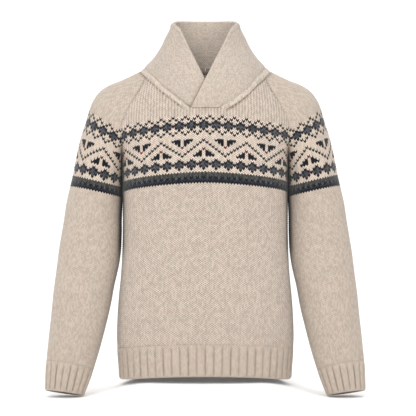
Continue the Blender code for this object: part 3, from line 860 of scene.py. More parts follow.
@dataclass
class Patch:
    """A stretch of knitting laid on a surface, cut to its outline.

    Attributes:
        place: the point at each stitch and row coordinate.
        inside: above 0 where the piece is, in stitches from its outline.
        stitches: the range of stitch coordinates that holds the piece.
        rows: the range of row coordinates that holds the piece.
        middle: where the middle of a stitch lies, as a share of a stitch.
        step: how far apart the grid's points are, in stitches and in rows.
        slant: how many rows a V climbs.
        facing: 1 if the surface's own normal points out of the cloth, -1 if not.
        chart_shift: columns by which the chart is moved; None leaves the piece plain.
        relief: how much relief there is at each place.
        shade: the painted shade and light of each place, by its point and coordinates.
        edge_fade: how many stitches from the outline the relief starts.
        plain: the yarn of a piece without a chart.
    """

    place: Surface
    inside: Surface
    stitches: tuple[float, float]
    rows: tuple[float, float]
    middle: float = 0.0
    step: tuple[float, float] = (0.25, 0.5)
    slant: float = KNIT_SLANT
    facing: float = 1.0
    chart_shift: int | None = None
    relief: Surface | None = None
    shade: Callable[[Array, Array, Array], Array] | None = None
    edge_fade: float = 0.5
    plain: Yarn = Yarn.BEIGE

    def layer(self) -> Layer:
        """The knitting as a layer."""
        count_u = round((self.stitches[1] - self.stitches[0]) / self.step[0])
        count_v = round((self.rows[1] - self.rows[0]) / self.step[1])
        u, v = np.meshgrid(
            self.stitches[0] + self.step[0] * np.arange(count_u + 1),
            self.rows[0] + self.step[1] * np.arange(count_v + 1),
        )
        wale = u + self.middle
        climb = self.slant * 2 * np.abs(wale - np.round(wale))
        level = v + climb
        depth = self.inside(u, level)
        within = depth > 0
        number = np.full(u.shape, -1)
        number[within] = np.arange(within.sum())
        coords = [np.stack([u[within], level[within], wale[within], v[within]], axis=1)]
        grid = np.stack([u, level, wale, v], axis=-1)
        crossings: dict[tuple[int, int, int, int], int] = {}
        extra: list[Array] = []

        def crossing(a: tuple[int, int], b: tuple[int, int]) -> int:
            """The vertex where the outline crosses the side between two grid points."""
            key = (*min(a, b), *max(a, b))
            if key not in crossings:
                share = depth[a] / (depth[a] - depth[b])
                extra.append(grid[a] + (grid[b] - grid[a]) * share)
                crossings[key] = len(coords[0]) + len(extra) - 1
            return crossings[key]

        corners = np.stack([within[:-1, :-1], within[:-1, 1:], within[1:, 1:],
                            within[1:, :-1]], axis=-1)
        whole = corners.all(axis=-1)
        rows, cols = np.nonzero(whole)
        faces = np.stack([number[rows, cols], number[rows, cols + 1],
                          number[rows + 1, cols + 1], number[rows + 1, cols]],
                         axis=1).tolist()
        part_rows, part_cols = np.nonzero(corners.any(axis=-1) & ~whole)
        for j, i in zip(part_rows.tolist(), part_cols.tolist()):
            ring = [(j, i), (j, i + 1), (j + 1, i + 1), (j + 1, i)]
            face = []
            for n, a in enumerate(ring):
                b = ring[(n + 1) % 4]
                if within[a]:
                    face.append(int(number[a]))
                if within[a] != within[b]:
                    face.append(crossing(a, b))
            faces.append(face)
        yarn = self._yarn(wale, v, np.concatenate([rows, part_rows]),
                          np.concatenate([cols, part_cols]))
        if extra:
            coords.append(np.array(extra))
        table = np.concatenate(coords)
        u, level, wale, course = table.T
        points = self.place(u, level)
        outward = normal_of(self.place, u, level) * self.facing
        rise = ramp(self.inside(u, level), 0.0, self.edge_fade)
        if self.relief is not None:
            rise = rise * self.relief(u, level)
        shade = np.ones(len(points))
        if self.shade is not None:
            shade = self.shade(points, u, level)
        made = Layer(points, outward, wale, course, rise, shade, faces, yarn)
        return made if self.facing > 0 else made.reversed()

    def _yarn(self, wale: Array, v: Array, rows: Array, cols: Array) -> list[int]:
        """The yarn of each cell of the grid."""
        if self.chart_shift is None:
            return [self.plain.value] * len(rows)
        across = wale[rows, cols] + self.step[0] / 2
        along = v[rows, cols] + self.step[1] / 2
        column_of, row_of = np.round(across).astype(int), np.floor(along).astype(int)
        own = yarn_at(column_of, row_of, self.chart_shift)
        below = yarn_at(column_of, row_of - 1, self.chart_shift)
        beside = yarn_at(column_of - 1, row_of - 1, self.chart_shift)
        notch = (np.abs(across - column_of) < 0.25) & (along - row_of < 0.5)
        notch &= (own < Yarn.NAVY.value) & (below > Yarn.CREAM.value)
        notch &= (below != Yarn.TAUPE.value) & (beside > Yarn.CREAM.value)
        return np.where(notch, Yarn.GREY.value, own).tolist()

def closed_wall(outer: Layer, inner: Layer) -> Layer:
    """A closed wall from two layers and the rims between them.

    Args:
        outer: the layer that shows.
        inner: the layer behind it, facing the same way.

    Returns:
        One closed layer.
    """
    body, moved = joined(outer, inner.reversed())
    behind = [[i + moved for i in loop] for loop in inner.loops()]
    for loop in outer.loops():
        middle = body.points[loop].mean(axis=0)
        near = min(behind, key=lambda other: float(
            np.linalg.norm(body.points[other].mean(axis=0) - middle)))
        body.close(bridge(body.points, loop, near, closed=True))
    return body


def zipped(layer: Layer, start: tuple[float, float], end: tuple[float, float]) -> Layer:
    """A folded layer, closed along its own outline.

    Args:
        layer: the layer, folded over so that its outline lies on itself.
        start: stitch and row coordinate of one end of the fold.
        end: those of the other end.

    Returns:
        The closed layer.
    """
    loop = layer.loops()[0]
    spots = np.stack([layer.wale[loop], layer.course[loop]], axis=1)
    first = int(np.argmin(np.abs(spots - np.array(start)).sum(axis=1)))
    loop = loop[first:] + loop[:first]
    spots = np.roll(spots, -first, axis=0)
    last = int(np.argmin(np.abs(spots - np.array(end)).sum(axis=1)))
    there, back = loop[:last + 1], (loop[last:] + loop[:1])[::-1]
    layer.close(bridge(layer.points, there, back, closed=False))
    return layer


def folded(surface: Surface, along: Array, signed: Array,
           radius: Array | float, lift: Surface,
           half: Surface, facing: float) -> Array:
    """A fabric folded round its free edge.

    Args:
        surface: the middle form, by a coordinate along the edge and a depth from it.
        along: the coordinate along the edge.
        signed: the way from the fold, above 0 on the outer side.
        radius: how far the middle form stays back from the fold.
        lift: how far the middle of the fabric lies outside the form.
        half: half the thickness of the fabric.
        facing: 1 if along x depth points outwards, -1 if not.

    Returns:
        The points.
    """
    turn = np.clip(signed / radius, -math.pi / 2, math.pi / 2)
    depth = radius + np.maximum(np.abs(signed) - math.pi / 2 * radius, 0)
    base = surface(along, depth)
    inward = surface(along, depth + 0.4) - base
    side = surface(along + 0.05, depth) - surface(along - 0.05, depth)
    normal = unit(np.cross(side, inward)) * facing
    rise = lift(along, depth) + half(along, depth) * np.sin(turn)
    reach = radius * np.cos(turn)
    return base + normal * rise[..., None] - unit(inward) * reach[..., None]


# Node trees ---------------------------------------------------------------------------


def math_operator(operation: str, turned: bool = False) -> Callable[..., "Wire"]:
    """A Wire operator that adds a Math node, in turned order if asked."""

    def operate(self: "Wire", other: "Wire | float") -> "Wire":
        """The Math node on this socket and another value."""
        pair = {0: other, 1: self} if turned else {0: self, 1: other}
        return self.graph.node("ShaderNodeMath", {"operation": operation}, pair)

    return operate


class Wire:
    """A socket of a node tree that is used in arithmetic like a number."""

    def __init__(self, graph: "Graph", socket: bpy.types.NodeSocket) -> None:
        """Wraps a socket of the graph's tree."""
        self.graph = graph
        self.socket = socket

    __add__ = math_operator("ADD")
    __radd__ = math_operator("ADD", turned=True)
    __sub__ = math_operator("SUBTRACT")
    __rsub__ = math_operator("SUBTRACT", turned=True)
    __mul__ = math_operator("MULTIPLY")
    __rmul__ = math_operator("MULTIPLY", turned=True)
    __gt__ = math_operator("GREATER_THAN")

    def one(self, operation: str) -> "Wire":
        """A Math node of one value, such as SINE or FLOOR."""
        return self.graph.node("ShaderNodeMath", {"operation": operation}, {0: self})


class Graph:
    """A node tree that is filled by expressions."""

    def __init__(self, tree: bpy.types.NodeTree) -> None:
        """Takes the tree to be filled."""
        self.tree = tree

    def node(self, kind: str, settings: dict[str, object], inputs: dict[object, object],
             out: int = 0) -> Wire:
        """A new node.

        Args:
            kind: the node's type.
            settings: its properties, which are set first.
            inputs: values or wires by the name or number of a socket.
            out: the number of the output that is wanted.

        Returns:
            That output.
        """
        made = self.tree.nodes.new(kind)
        for key, value in settings.items():
            setattr(made, key, value)
        for key, value in inputs.items():
            if isinstance(value, Wire):
                self.tree.links.new(value.socket, made.inputs[key])
            else:
                made.inputs[key].default_value = value
        return Wire(self, made.outputs[out])

    def mix(self, share: Wire | float, first: object, second: object) -> Wire:
        """A colour between two colours."""
        return self.node("ShaderNodeMix", {"data_type": "RGBA", "clamp_factor": True},
                         {0: share, 6: first, 7: second}, 2)

    def vector(self, operation: str, inputs: dict[object, object]) -> Wire:
        """A Vector Math node, on vectors or colours."""
        return self.node("ShaderNodeVectorMath", {"operation": operation}, inputs)


def linear(colour: tuple[int, int, int]) -> tuple[float, float, float, float]:
    """A linear colour from a screen colour of 0 to 255."""
    parts = [c / 255 for c in colour]
    found = [p / 12.92 if p < 0.04 else ((p + 0.055) / 1.055) ** 2.4 for p in parts]
    return (found[0], found[1], found[2], 1.0)


YARN_COLOURS = {
    Yarn.BEIGE: (226, 212, 199),
    Yarn.CREAM: (237, 222, 208),
    Yarn.NAVY: (17, 19, 29),
    Yarn.SLATE: (44, 50, 63),
    Yarn.GREY: (82, 84, 91),
    Yarn.TAUPE: (80, 80, 77),
    Yarn.RED: (116, 4, 20),
}

# Noises in the wool: how fine each is, in 1/m, and its detail.
MOTTLE_NOISE = (85.0, 2.0)
BLUSH_NOISE = (210.0, 2.0)
FIBRE_NOISE = (1300.0, 3.0)

# Tints that the heather wanders between, and the warm tint of painted shade.
WARM_TINT = (1.05, 0.965, 0.945)
COOL_TINT = (0.955, 1.015, 0.985)
PAINTED_SHADE_TINT = (1.0, 0.87, 0.72, 1.0)
NO_TINT = (1.0, 1.0, 1.0, 1.0)

DARK_FLECK = 2.6  # how much more the dark yarns are flecked


@dataclass(frozen=True)
class KnitFinish:
    """Heather wool, in one or more yarns.

    Attributes:
        name: the name of the material.
        lightness: a factor on the yarns' colours, 1 as dyed; the sleeves' lower one is
            painted shade.
        fleck: how much one leg of a stitch differs from the next.
        cavity_shade: how much painted shade darkens the colour between the stitches.
        hole_shade: how dark the painted shade in the holes between the stitches is.
        wales: how much painted shade and light mark out the wales above the band.
        wool_tint: a tint over all yarns, as three factors.
    """

    name: str
    lightness: float = 1.0
    fleck: float = 0.26
    cavity_shade: float = 0.72
    hole_shade: float = 0.36
    wales: float = 0.0
    wool_tint: tuple[float, float, float] = (1.0, 1.0, 1.0)

    def material(self) -> bpy.types.Material:
        """The material, made on first use."""
        if self.name in bpy.data.materials:
            return bpy.data.materials[self.name]
        made = bpy.data.materials.new(self.name)
        made.use_nodes = True
        made.node_tree.nodes.clear()
        graph = Graph(made.node_tree)
        place = graph.node("ShaderNodeTexCoord", {}, {}, 3)  # object coordinates
        read = {key: graph.node("ShaderNodeAttribute", {"attribute_name": key}, {}, 2)
                for key in ("yarn", "wale", "course", "height", "shade")}
        fibre = self._noise(graph, place, *FIBRE_NOISE)
        light = self._light(graph, place, read, fibre) * self.lightness
        ply = ((read["course"] * 3.0 + read["wale"] * 2.0) * math.tau).one("SINE")
        bump = graph.node("ShaderNodeBump", {}, {
            "Strength": 0.5, "Distance": 0.0006, "Height": fibre * 0.6 + ply * 0.12})
        shader = graph.node("ShaderNodeBsdfPrincipled", {}, {
            "Base Color": graph.vector(
                "SCALE", {0: self._dyed(graph, place, read), "Scale": light}),
            "Roughness": 0.95,
            "Specular IOR Level": 0.12,
            "Sheen Weight": 0.18,
            "Sheen Roughness": 0.6,
            "Normal": bump,
        })
        output = made.node_tree.nodes.new("ShaderNodeOutputMaterial")
        made.node_tree.links.new(shader.socket, output.inputs["Surface"])
        return made

    def _dyed(self, graph: Graph, place: Wire, read: dict[str, Wire]) -> Wire:
        """The colour of each place's yarn, with the heather's wandering tint and painted
        shade's tint.
        """
        colour: object = linear(YARN_COLOURS[Yarn.BEIGE])
        for yarn in list(Yarn)[1:]:
            colour = graph.mix(read["yarn"] > yarn.value - 0.5, colour,
                               linear(YARN_COLOURS[yarn]))
        blush = self._noise(graph, place, *BLUSH_NOISE)
        warm, cool = ((*(a * b for a, b in zip(tint, self.wool_tint)), 1.0)
                      for tint in (WARM_TINT, COOL_TINT))
        tint = graph.mix((blush - 0.5) * 2.0 + 0.5, warm, cool)
        # painted shade is warmed where the shade attribute darkens the colour
        deep = graph.mix(read["shade"], PAINTED_SHADE_TINT, NO_TINT)
        colour = graph.vector("MULTIPLY", {0: colour, 1: tint})
        return graph.vector("MULTIPLY", {0: colour, 1: deep})

    def _light(self, graph: Graph, place: Wire, read: dict[str, Wire],
               fibre: Wire) -> Wire:
        """How light each place is: its leg's fleck and noise, times painted shade and
        light.

        Args:
            graph: the material's graph.
            place: object coordinates.
            read: the attributes of the piece.
            fibre: the finest noise.

        Returns:
            A factor near 1.
        """
        leg = graph.node("ShaderNodeCombineXYZ", {}, {
            0: (read["wale"] * 2.0 + 0.001).one("FLOOR"),
            1: (read["course"] + 0.001).one("FLOOR"),
        })
        spot = graph.node("ShaderNodeTexWhiteNoise", {"noise_dimensions": "3D"}, {0: leg})
        mottle = self._noise(graph, place, *MOTTLE_NOISE)
        speckled = 1.0 + (read["yarn"] > Yarn.CREAM.value + 0.5) * DARK_FLECK
        light = 1.0 + (spot - 0.5) * self.fleck * speckled + (mottle - 0.5) * 0.10
        light = light + (fibre - 0.5) * 0.18
        # painted shade of the stitch relief: dark in the holes between legs, lighter on the
        # crowns
        lean = graph.node("ShaderNodeMath", {"operation": "PINGPONG"},
                          {0: read["wale"], 1: 0.5})
        level = read["course"] + lean * (2 * KNIT_SLANT)
        across = (read["wale"] * math.tau).one("COSINE")
        hole_shades = across * (level * math.tau).one("COSINE")
        yoke = read["course"] > float(BAND_ROWS)
        band = (read["course"] > 0.0) - yoke
        hole_shades = hole_shades * ((1.0 - yoke * 0.5 + band * 0.4) * self.hole_shade)
        wales = across * (yoke * self.wales)
        stitch = read["height"] * 0.3 + (0.55 - hole_shades + wales) * 0.7
        # times the piece's painted shade and light from its shade attribute
        return light * (1.0 - self.cavity_shade + stitch * self.cavity_shade) * read["shade"]

    @staticmethod
    def _noise(graph: Graph, place: Wire, scale: float, detail: float) -> Wire:
        """Noise on the piece, at a scale in 1/m."""
        return graph.node("ShaderNodeTexNoise", {}, {
            "Vector": place, "Scale": scale, "Detail": detail, "Roughness": 0.55})


def named(graph: Graph, label: str, kind: str = "FLOAT") -> Wire:
    """A named attribute of the geometry."""
    return graph.node("GeometryNodeInputNamedAttribute", {"data_type": kind},
                      {"Name": label})


def stitch_tree() -> bpy.types.NodeTree:
    """The tree that raises the two legs of every stitch, made on first use."""
    if "knitted_stitches" in bpy.data.node_groups:
        return bpy.data.node_groups["knitted_stitches"]
    tree = bpy.data.node_groups.new("knitted_stitches", "GeometryNodeTree")
    for label, kind, way in (("Geometry", "Geometry", "INPUT"),
                             ("Stitch Height", "Float", "INPUT"),
                             ("Material", "Material", "INPUT"),
                             ("Geometry", "Geometry", "OUTPUT")):
        tree.interface.new_socket(label, in_out=way, socket_type="NodeSocket" + kind)
    graph = Graph(tree)
    source = tree.nodes.new("NodeGroupInput")
    geometry, rise, material = (Wire(graph, source.outputs[i]) for i in range(3))
    wale, course = (named(graph, label) * math.tau for label in ("wale", "course"))
    legs = 0.35 + wale.one("SINE").one("ABSOLUTE") * 0.5 + wale.one("COSINE") * 0.08
    height = legs * (0.2 + 0.8 * (0.5 - course.one("COSINE") * 0.5))
    share = named(graph, "relief")
    move = graph.vector("SCALE", {
        0: named(graph, "outward", "FLOAT_VECTOR"),
        "Scale": (height - 0.5) * share * rise,
    })
    moved = graph.node("GeometryNodeSetPosition", {},
                       {"Geometry": geometry, "Offset": move})
    # the relief's height is kept for the material's painted cavity shade
    stored = graph.node("GeometryNodeStoreNamedAttribute", {
        "data_type": "FLOAT", "domain": "POINT"}, {
        "Geometry": moved, "Name": "height",
        "Value": height * share + (1.0 - share) * 0.35})
    real = graph.node("GeometryNodeRealizeInstances", {}, {0: stored})
    dressed = graph.node("GeometryNodeSetMaterial", {},
                         {"Geometry": real, "Material": material})
    output = tree.nodes.new("NodeGroupOutput")
    tree.links.new(dressed.socket, output.inputs[0])
    return tree


def made_real(piece: bpy.types.Object, tree: bpy.types.NodeTree,
              values: dict[str, object]) -> bpy.types.Object:
    """The piece with its mesh as the tree makes it, and no modifier.

    Args:
        piece: an object.
        tree: the Geometry Nodes tree.
        values: the values of the tree's inputs by name.

    Returns:
        The piece.
    """
    modifier = piece.modifiers.new("work", "NODES")
    modifier.node_group = tree
    for socket in tree.interface.items_tree:
        if socket.in_out == "INPUT" and socket.name in values:
            modifier[socket.identifier] = values[socket.name]
    graph = bpy.context.evaluated_depsgraph_get()
    result = bpy.data.meshes.new_from_object(piece.evaluated_get(graph), depsgraph=graph)
    piece.modifiers.remove(modifier)
    before = piece.data
    piece.data = result
    bpy.data.meshes.remove(before)
    result.name = piece.name
    return piece


def linked(name: str, data: bpy.types.ID) -> bpy.types.Object:
    """A new object in the scene."""
    made = bpy.data.objects.new(name, data)
    bpy.context.scene.collection.objects.link(made)
    return made


def mesh_object(name: str, layer: Layer) -> bpy.types.Object:
    """An object from a layer, in metres, with its coordinates as attributes."""
    used = np.unique(np.concatenate([np.array(f) for f in layer.faces]))
    number = np.full(len(layer.points), -1)
    number[used] = np.arange(len(used))
    table = number.tolist()
    mesh = bpy.data.meshes.new(name)
    mesh.from_pydata((layer.points[used] * MM).tolist(), [],
                     [[table[i] for i in face] for face in layer.faces])
    for label in ("wale", "course", "relief", "shade"):
        values = getattr(layer, label)[used]
        mesh.attributes.new(label, "FLOAT", "POINT").data.foreach_set("value", values)
    outward = mesh.attributes.new("outward", "FLOAT_VECTOR", "POINT")
    outward.data.foreach_set("vector", layer.outward[used].ravel())
    mesh.attributes.new("yarn", "INT", "FACE").data.foreach_set("value", layer.yarn)
    mesh.validate()
    mesh.shade_smooth()
    return linked(name, mesh)


# Pieces -------------------------------------------------------------------------------


@dataclass
class Cut:
    """What a piece of knitting measures flat, in metres."""

    width: float
    length: float
    area: float | None = None


class Side(Enum):
    """The wearer's sides, by the sign of x."""

    LEFT = 1
    RIGHT = -1

    def of(self, layer: Layer) -> Layer:
        """A layer that was made on the wearer's left, on this side."""
        return layer if self is Side.LEFT else layer.mirrored()


@dataclass
class KnittedPiece:
    """What all knitted pieces share.

    Attributes:
        node: the CAD node that the piece stands for.
        finish: its wool.
        stitch_height: how far a stitch stands out, in millimetres.
    """

    node: str
    finish: KnitFinish
    stitch_height: float = 1.9

    def layer(self) -> Layer:
        """The piece's closed layer."""
        raise NotImplementedError

    def cut(self) -> Cut:
        """The piece's flat size."""
        raise NotImplementedError

    def make(self) -> bpy.types.Object:
        """Knits the piece, dresses it and ties it to the frame."""
        piece = mesh_object(self.node + "_cloth", self.layer())
        made_real(piece, stitch_tree(), {
            "Stitch Height": self.stitch_height * MM,
            "Material": self.finish.material(),
        })
        for label in ("outward", "relief"):
            if label in piece.data.attributes:
                piece.data.attributes.remove(piece.data.attributes[label])
        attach(piece, BODY_NAME)
        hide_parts(self.node)
        return piece


# Painted shade of the seams' grooves: a dotted dark line along each seam.
RAGLAN_MARK_ROWS = 1.4  # rows from one stitch of the raglan seam to the next
RAGLAN_DARK_Z = (-95.0, -45.0)  # the heights between which the seam's painted shade gets darker
NECK_MARK_STITCHES = 1.25  # stitches from one stitch of the neck seam to the next
# Painted shade where an arm lies on the body: a dark line with a softer halo.
ARM_CONTACT_X = 181.0
ARM_CONTACT_Z = (-430.0, -370.0, -200.0, -140.0)
ARM_LINE = (0.97, 5.0)  # how dark the painted shade line beside an arm is, and how wide
ARM_HALO = (0.15, 12.0)  # the same for the softer painted shade round it
FAR = 9.0  # stitches, far enough from a seam for its shade to end


def arm_shade(points: Array, away: Array) -> Array:
    """The painted shade on the cloth beside the line where an arm lies on the body.

    Args:
        points: the points of the cloth.
        away: how far each one is from that line.

    Returns:
        A factor from 0 to 1.
    """
    z = points[:, 2]
    low, from_low, to_high, high = ARM_CONTACT_Z
    where = ramp(z, low, from_low) * (1 - ramp(z, to_high, high))
    away = np.maximum(away, 0)
    line = ARM_LINE[0] * np.exp(-((away / ARM_LINE[1]) ** 2))
    return 1 - where * (line + ARM_HALO[0] * np.exp(-away / ARM_HALO[1]))


def seam_shade(gap: Array, along: Array, width: float, depth: Array | float,
               even: Array | float = 0.2) -> Array:
    """The painted shade beside a seam, with a dark mark at each of its stitches.

    Args:
        gap: how many stitches each place is from the seam.
        along: a coordinate along the seam, whole at each mark.
        width: how wide the dark line is, in stitches.
        depth: how dark a mark is.
        even: how dark the line is between two marks, as a share.

    Returns:
        A factor from 0 to 1.
    """
    mark = even + (1 - even) * (0.5 + 0.5 * np.cos(math.tau * along))
    return 1 - depth * mark * np.exp(-((np.maximum(gap, 0) / width) ** 2))


def stitch_area(layer: Layer) -> float:
    """The flat area of a layer in square metres, from its stitches and rows."""
    total = 0.0
    for face in layer.faces:
        x, y = layer.wale[face], layer.course[face]
        total += 0.5 * abs(float(np.dot(x, np.roll(y, 1)) - np.dot(y, np.roll(x, 1))))
    return total * STITCH_WIDTH * ROW_HEIGHT * MM * MM


RAGLAN_ROWS = (FRONT_FORM.seam[:, 2] - BAND_SEAM_Z) / ROW_HEIGHT
UNDERARM_ROW = float(RAGLAN_ROWS[0])


@dataclass
class PlainKnit(KnittedPiece):
    """A wall of plain knitting with the chart on it: a panel or a sleeve.

    Attributes:
        creases: its soft creases.
        facing: 1 if its surface's own normal points out of the cloth, -1 if not.
        middle: where the middle of a stitch lies, as a share of a stitch.
        chart_shift: columns by which the chart is moved.
    """

    creases: Sequence[Crease] = ()
    facing: float = -1.0
    middle: float = 0.0
    chart_shift: int = 0

    def behind(self, u: Array, v: Array) -> Array:
        """The point of the inner side."""
        return self.place(u, v) - normal_of(self.place, u, v) * self.facing * WALL

    def walls(self, reach: float, rows: tuple[float, float]) -> tuple[Layer, Layer]:
        """The side that shows and the side behind it.

        Args:
            reach: the largest stitch coordinate, either way.
            rows: the range of row coordinates.

        Returns:
            Both sides, cut to the piece's outline.
        """
        outer = Patch(self.place, self.inside, (-reach, reach), rows, self.middle,
                      facing=self.facing, chart_shift=self.chart_shift, edge_fade=0.25,
                      shade=self.shade).layer()
        inner = Patch(self.behind, self.inside, (-reach, reach), rows, step=(2.0, 3.0),
                      slant=0.0, facing=self.facing).layer()
        self.area = stitch_area(outer)
        return outer, inner

    def lit(self, points: Array, u: Array, v: Array, arm: Array, neck: Array) -> Array:
        """The painted shade on the cloth beside an arm and beside the seams.

        Args:
            points: the points of the cloth.
            u: their stitch coordinates.
            v: their row coordinates.
            arm: how far each one is from the line where the arm lies on the body.
            neck: how much light the neck seam leaves.

        Returns:
            A factor from 0 to 1.
        """
        raglan = self.edge(v) - np.abs(u) + FAR * (v < self.underarm_row)
        dark = 0.12 + 0.42 * ramp(points[:, 2], *RAGLAN_DARK_Z)
        return (arm_shade(points, arm) * seam_shade(raglan, v / RAGLAN_MARK_ROWS, 0.4, dark)
                * neck * seam_shade((v - self.foot_row) * ROW_SCALE, u, 0.35, 0.15))


@dataclass
class Panel(PlainKnit):
    """The front or the back of the body, from the ribbing to the neck edge.

    Attributes:
        form: the form that it lies on.
        bow: how much higher the rows lie at the centre than at the seams.
        seam_level: the height above which a stitch keeps its width.
        foot_row: the row where the ribbing ends.
    """

    middle: float = 0.5
    form: BodyForm = FRONT_FORM
    bow: float = 22.0
    seam_level: float = field(default=-280.0, init=False)
    foot_row: float = field(default=-73.4, init=False)
    underarm_row: float = field(default=UNDERARM_ROW, init=False)

    def __post_init__(self) -> None:
        """Measures the form."""
        self.facing = -float(self.form.side)
        levels = np.arange(-616.0, 9.0, 4.0)
        self.table = ArcTable(self.form.point, levels, self.form.seam_angle(levels))
        self.girth = float(self.table.full(np.array([self.seam_level]))[0])
        self.half_count = round(self.girth / STITCH_WIDTH)
        angle, z = self.form.neckline(np.linspace(0, 1, 161))
        self.neck_u = self.table.arc(z, angle) / self._stitch(z)
        self.neck_v = self._row_at(self.neck_u, z)
        rim = self.form.point(z, angle)
        # where the painted shadow line below the trim lies on each side
        self.covers = {
            side: (TRIM_REACH + trim_drop(rim, side)) * TRIM_SLOPE / STITCH_WIDTH
            for side in (1, -1)}
        self.flat_stitches = CORNER_X / STITCH_WIDTH if self.form.side < 0 else 0.0

    def _stitch(self, z: Array) -> Array:
        """The width of a stitch at each height."""
        return self.table.full(np.minimum(z, self.seam_level)) / self.half_count

    def _seam_z(self, v: Array) -> Array:
        """The height of each row at the panel's edge."""
        raglan = np.interp(v, RAGLAN_ROWS, self.form.seam[:, 2])
        side = self.seam_level + ROW_HEIGHT * (v - UNDERARM_ROW)
        return np.where(v > UNDERARM_ROW, raglan, side)

    def _neck(self, u: Array) -> Array:
        """The row at which each column of stitches ends."""
        return np.interp(np.abs(u), self.neck_u, self.neck_v, right=self.neck_v[-1] + 5)

    def edge(self, v: Array) -> Array:
        """Half the number of stitches in each row."""
        z = self._seam_z(v)
        return np.where(z > self.seam_level, self.table.full(z) / self._stitch(z),
                        self.half_count)

    def _height(self, u: Array, v: Array) -> Array:
        """The height of a point of a row."""
        above = np.maximum(v, 0)
        share = np.abs(u) / self.edge(above)
        centre = BAND_SEAM_Z + self.bow + ROW_HEIGHT * above
        z = centre - (centre - self._seam_z(above)) * share ** FROWN_POWER
        low = np.full_like(u, -605.0)  # just above the ribbing
        angle = self.table.angle(low, u * self._stitch(low))
        down = np.clip(v / self.foot_row, 0, 1.02)
        return z * (1 - down) + self.form.rib_top(angle) * down

    def _row_at(self, u: Array, z: Array) -> Array:
        """The row that has each height."""
        v = (z - BAND_SEAM_Z - self.bow) / ROW_HEIGHT
        for _ in range(12):
            v += (z - self._height(u, v)) / ROW_HEIGHT
        return v

    def place(self, u: Array, v: Array) -> Array:
        """The point of each stitch and row coordinate."""
        z = self._height(u, v)
        point = self.form.point(z, self.table.angle(z, u * self._stitch(z)))
        point[..., 1] -= self.form.side * sink_of(self.creases, point)
        return point

    def inside(self, u: Array, v: Array) -> Array:
        """Stitches from the outline."""
        return np.minimum.reduce([
            self.edge(v) - np.abs(u),
            (self._neck(u) - v) * ROW_SCALE,
            (v - self.foot_row) * ROW_SCALE,
        ]) - SEAM_GAP

    def shade(self, points: Array, u: Array, v: Array) -> Array:
        """The painted shade on the cloth beside the arms, the seams and below the neck
        trim.
        """
        left, right = (np.interp(np.abs(u), self.neck_u, self.covers[side])
                       for side in (1, -1))
        beyond = np.abs(u) - self.flat_stitches
        under = np.where(beyond > 0, np.where(u > 0, left, right), 0.0)
        # painted shadow below the neck trim, with the seam's marks
        neck = seam_shade(np.abs((self._neck(u) - v) * ROW_SCALE - under),
                          u / NECK_MARK_STITCHES, 0.42, 0.16 + 0.6 * ramp(beyond, 0.0, 2.5),
                          np.where(u > 0, 0.6, 0.2))
        return self.lit(points, u, v, ARM_CONTACT_X - np.abs(points[:, 0]), neck)

    def layer(self) -> Layer:
        """The piece's closed layer."""
        rows = (-76.0, math.ceil(self.neck_v.max()) + 2.0)
        return closed_wall(*self.walls(float(self.half_count + 2), rows))

    def cut(self) -> Cut:
        """The piece's flat size."""
        rows = float(self.neck_v.max()) - self.foot_row
        return Cut(2 * self.girth * MM, rows * ROW_HEIGHT * MM, self.area)


